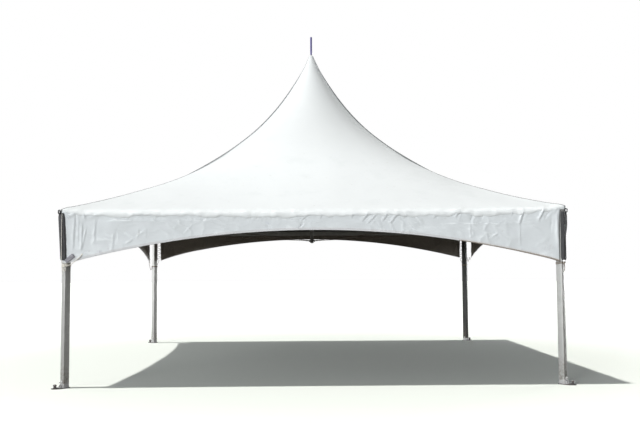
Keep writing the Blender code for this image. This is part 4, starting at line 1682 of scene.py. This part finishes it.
# The knot and its hanging end, in the corner's own axes
KNOT = [
    (0.046, 0.010, TIE_HIGH + 0.020), (0.056, 0.004, TIE_HIGH + 0.008),
    (0.060, -0.008, TIE_HIGH - 0.004), (0.052, -0.014, TIE_HIGH - 0.014),
    (0.046, -0.002, TIE_HIGH - 0.010), (0.054, 0.010, TIE_HIGH + 0.002),
    (0.064, 0.006, TIE_HIGH + 0.012), (0.062, -0.010, TIE_HIGH + 0.014),
    (0.050, -0.012, TIE_HIGH + 0.004), (0.050, 0.004, TIE_HIGH - 0.016),
    (0.054, 0.006, TIE_HIGH - 0.045), (0.050, 0.004, TIE_HIGH - 0.085),
    (0.047, 0.001, TIE_HIGH - 0.112),
]

for tag in CORNERS:
    place = corner_place(tag)
    cream = tag == "fl"
    turns, pitch = (3, 0.0118) if cream else (2, 0.0112)
    lashing = rope(windings(turns, pitch, TIE_HIGH - 0.014, 0.004))
    if cream:
        add_to(lashing, rope(windings(1, 0.012, TIE_HIGH - 0.004, 0.020)))
    else:
        add_to(lashing, rope(KNOT))
    bmesh.ops.transform(lashing, matrix=place, verts=lashing.verts)
    if cream:
        hem_cord = [
            (-2.765, -3.018, 1.574), (-2.765, -3.043, 1.566), (-2.800, -3.050, 1.530),
            (-2.855, -3.046, 1.482), (-2.910, -3.034, 1.448), (-2.955, -3.028, 1.434),
            (-2.990, -3.012, 1.430), (-3.014, -2.985, 1.438), (-3.016, -2.962, 1.446),
        ]
        drop_cord = [
            (-3.0015, -3.052, 2.060), (-3.0015, -3.0555, 1.960), (-3.0010, -3.0560, 1.750),
            (-3.0005, -3.0560, 1.580), (-3.0000, -3.0550, 1.510), (-2.9960, -3.0440, 1.470),
            (-2.9760, -3.0360, 1.440), (-2.9560, -3.0320, 1.424), (-2.9660, -3.0360, 1.404),
            (-2.9900, -3.0330, 1.402), (-3.0040, -3.0200, 1.420), (-2.9980, -3.0300, 1.450),
            (-2.9740, -3.0420, 1.474), (-2.9520, -3.0380, 1.466), (-2.9560, -3.0400, 1.440),
            (-2.9800, -3.0440, 1.424), (-2.9960, -3.0330, 1.398), (-2.9980, -3.0240, 1.362),
            (-2.9930, -3.0200, 1.334),
        ]
        loose_end = [
            (-2.960, -3.034, 1.420), (-2.952, -3.040, 1.396), (-2.966, -3.042, 1.378),
            (-2.984, -3.034, 1.386), (-2.980, -3.030, 1.412),
        ]
        add_to(lashing, rope(hem_cord, radius=0.0046))
        add_to(lashing, rope(drop_cord, radius=0.0036))
        add_to(lashing, rope(loose_end, radius=0.0046))
        add_to(lashing, eyelet(Matrix.Translation((-2.765, -3.0365, 1.574))))
    if tag in ("rl", "rr"):
        out = -1 if tag == "rl" else 1
        lace = [(out * 2.915, 2.975, 1.850)]
        for z in (1.850, 1.775, 1.700, 1.625):
            lace += [
                (out * 2.872, 3.044, z), (out * 2.838, 3.048, z - 0.006),
                (out * 2.834, 3.022, z - 0.010), (out * 2.872, 3.012, z - 0.018),
                (out * 2.906, 2.975, z - 0.030), (out * 2.930, 3.010, z - 0.045),
                (out * 2.905, 3.036, z - 0.060),
            ]
        lace += [(out * 2.895, 3.02, 1.545), (out * 2.915, 2.99, 1.49), (out * 2.93, 3.012, 1.452)]
        add_to(lashing, rope(lace, radius=0.0034))
        for z in (1.846, 1.771, 1.696, 1.621):
            add_to(lashing, eyelet(Matrix.Translation((out * 2.836, 3.035, z))))
        low = {"rl": 1.376, "rr": 1.512}[tag]
        hanging = [
            (out * 3.020, 2.812, 1.575), (out * 3.042, 2.812, 1.568),
            (out * 3.044, 2.830, low + 0.6 * (1.568 - low)), (out * 3.034, 2.862, low + 0.044),
            (out * 3.024, 2.895, low), (out * 3.018, 2.920, low + 0.016),
            (out * 3.016, 2.945, low + 0.049), (out * 3.020, 2.958, low + 0.072),
        ]
        add_to(lashing, rope(hanging, radius=0.0040))
        side_turn = Matrix.Rotation(math.radians(90), 4, "Z")
        add_to(lashing, eyelet(Matrix.Translation((out * 3.035, 2.812, 1.575)) @ side_turn))
    colour = ROPE if cream else BROWN_ROPE
    fit_piece("lashing_" + tag, lashing, [colour], ["corner_tie_" + tag], corner=60)


def grey_webbing():
    """Faded grey webbing, soiled in patches."""
    webbing = Finish("grey_webbing", (0.34, 0.335, 0.37), 0.75)
    flat = webbing.stretched((1, 1, 1), "UV")
    rows = webbing.nodes.new("ShaderNodeTexWave")
    rows.wave_profile = "TRI"
    rows.bands_direction = "DIAGONAL"
    rows.inputs["Scale"].default_value = 150
    webbing.link(flat, rows.inputs["Vector"])
    webbing.tint(rows.outputs["Fac"], (0.46, 0.455, 0.50), 0.5)
    webbing.tint(webbing.mottle(webbing.stretched((1, 1, 1)), 30, 0.45, 0.7), (0.15, 0.14, 0.15), 0.5)
    webbing.bump(rows.outputs["Fac"], 0.0008, 0.8)
    return webbing.material


TAB_LONG, TAB_WIDE = 0.118, 0.048
TAB_SLOPE = math.atan2(0.090, 0.113)
tab = bmesh.new()
bmesh.ops.create_grid(tab, x_segments=40, y_segments=12, size=0.5)
uv = tab.loops.layers.uv.new("webbing")
for f in tab.faces:
    for loop in f.loops:
        loop[uv].uv = (loop.vert.co.x * 0.14, loop.vert.co.y * 0.045)
for v in tab.verts:
    along, wide = v.co.x * TAB_LONG, v.co.y * (TAB_WIDE + 0.010 * v.co.x)
    bow = 0.005 * math.cos(math.pi * v.co.x) + 0.003 * math.sin(v.co.y * 5 + v.co.x * 4)
    v.co = Vector(
        (
            -2.908 + along * math.cos(TAB_SLOPE) - wide * math.sin(TAB_SLOPE),
            -3.046 - bow,
            1.527 + along * math.sin(TAB_SLOPE) + wide * math.cos(TAB_SLOPE),
        )
    )
bmesh.ops.recalc_face_normals(tab, faces=tab.faces)
tab_piece = fit_piece("hem_tab_fl", tab, [grey_webbing()], corner=60)
tab_thick = tab_piece.modifiers.new("thickness", "SOLIDIFY")
tab_thick.thickness = 0.0022
tab_thick.offset = 0

size = {
    "cad": [list(p) for p in cad_box],
    "visual": [list(p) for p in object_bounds()],
}
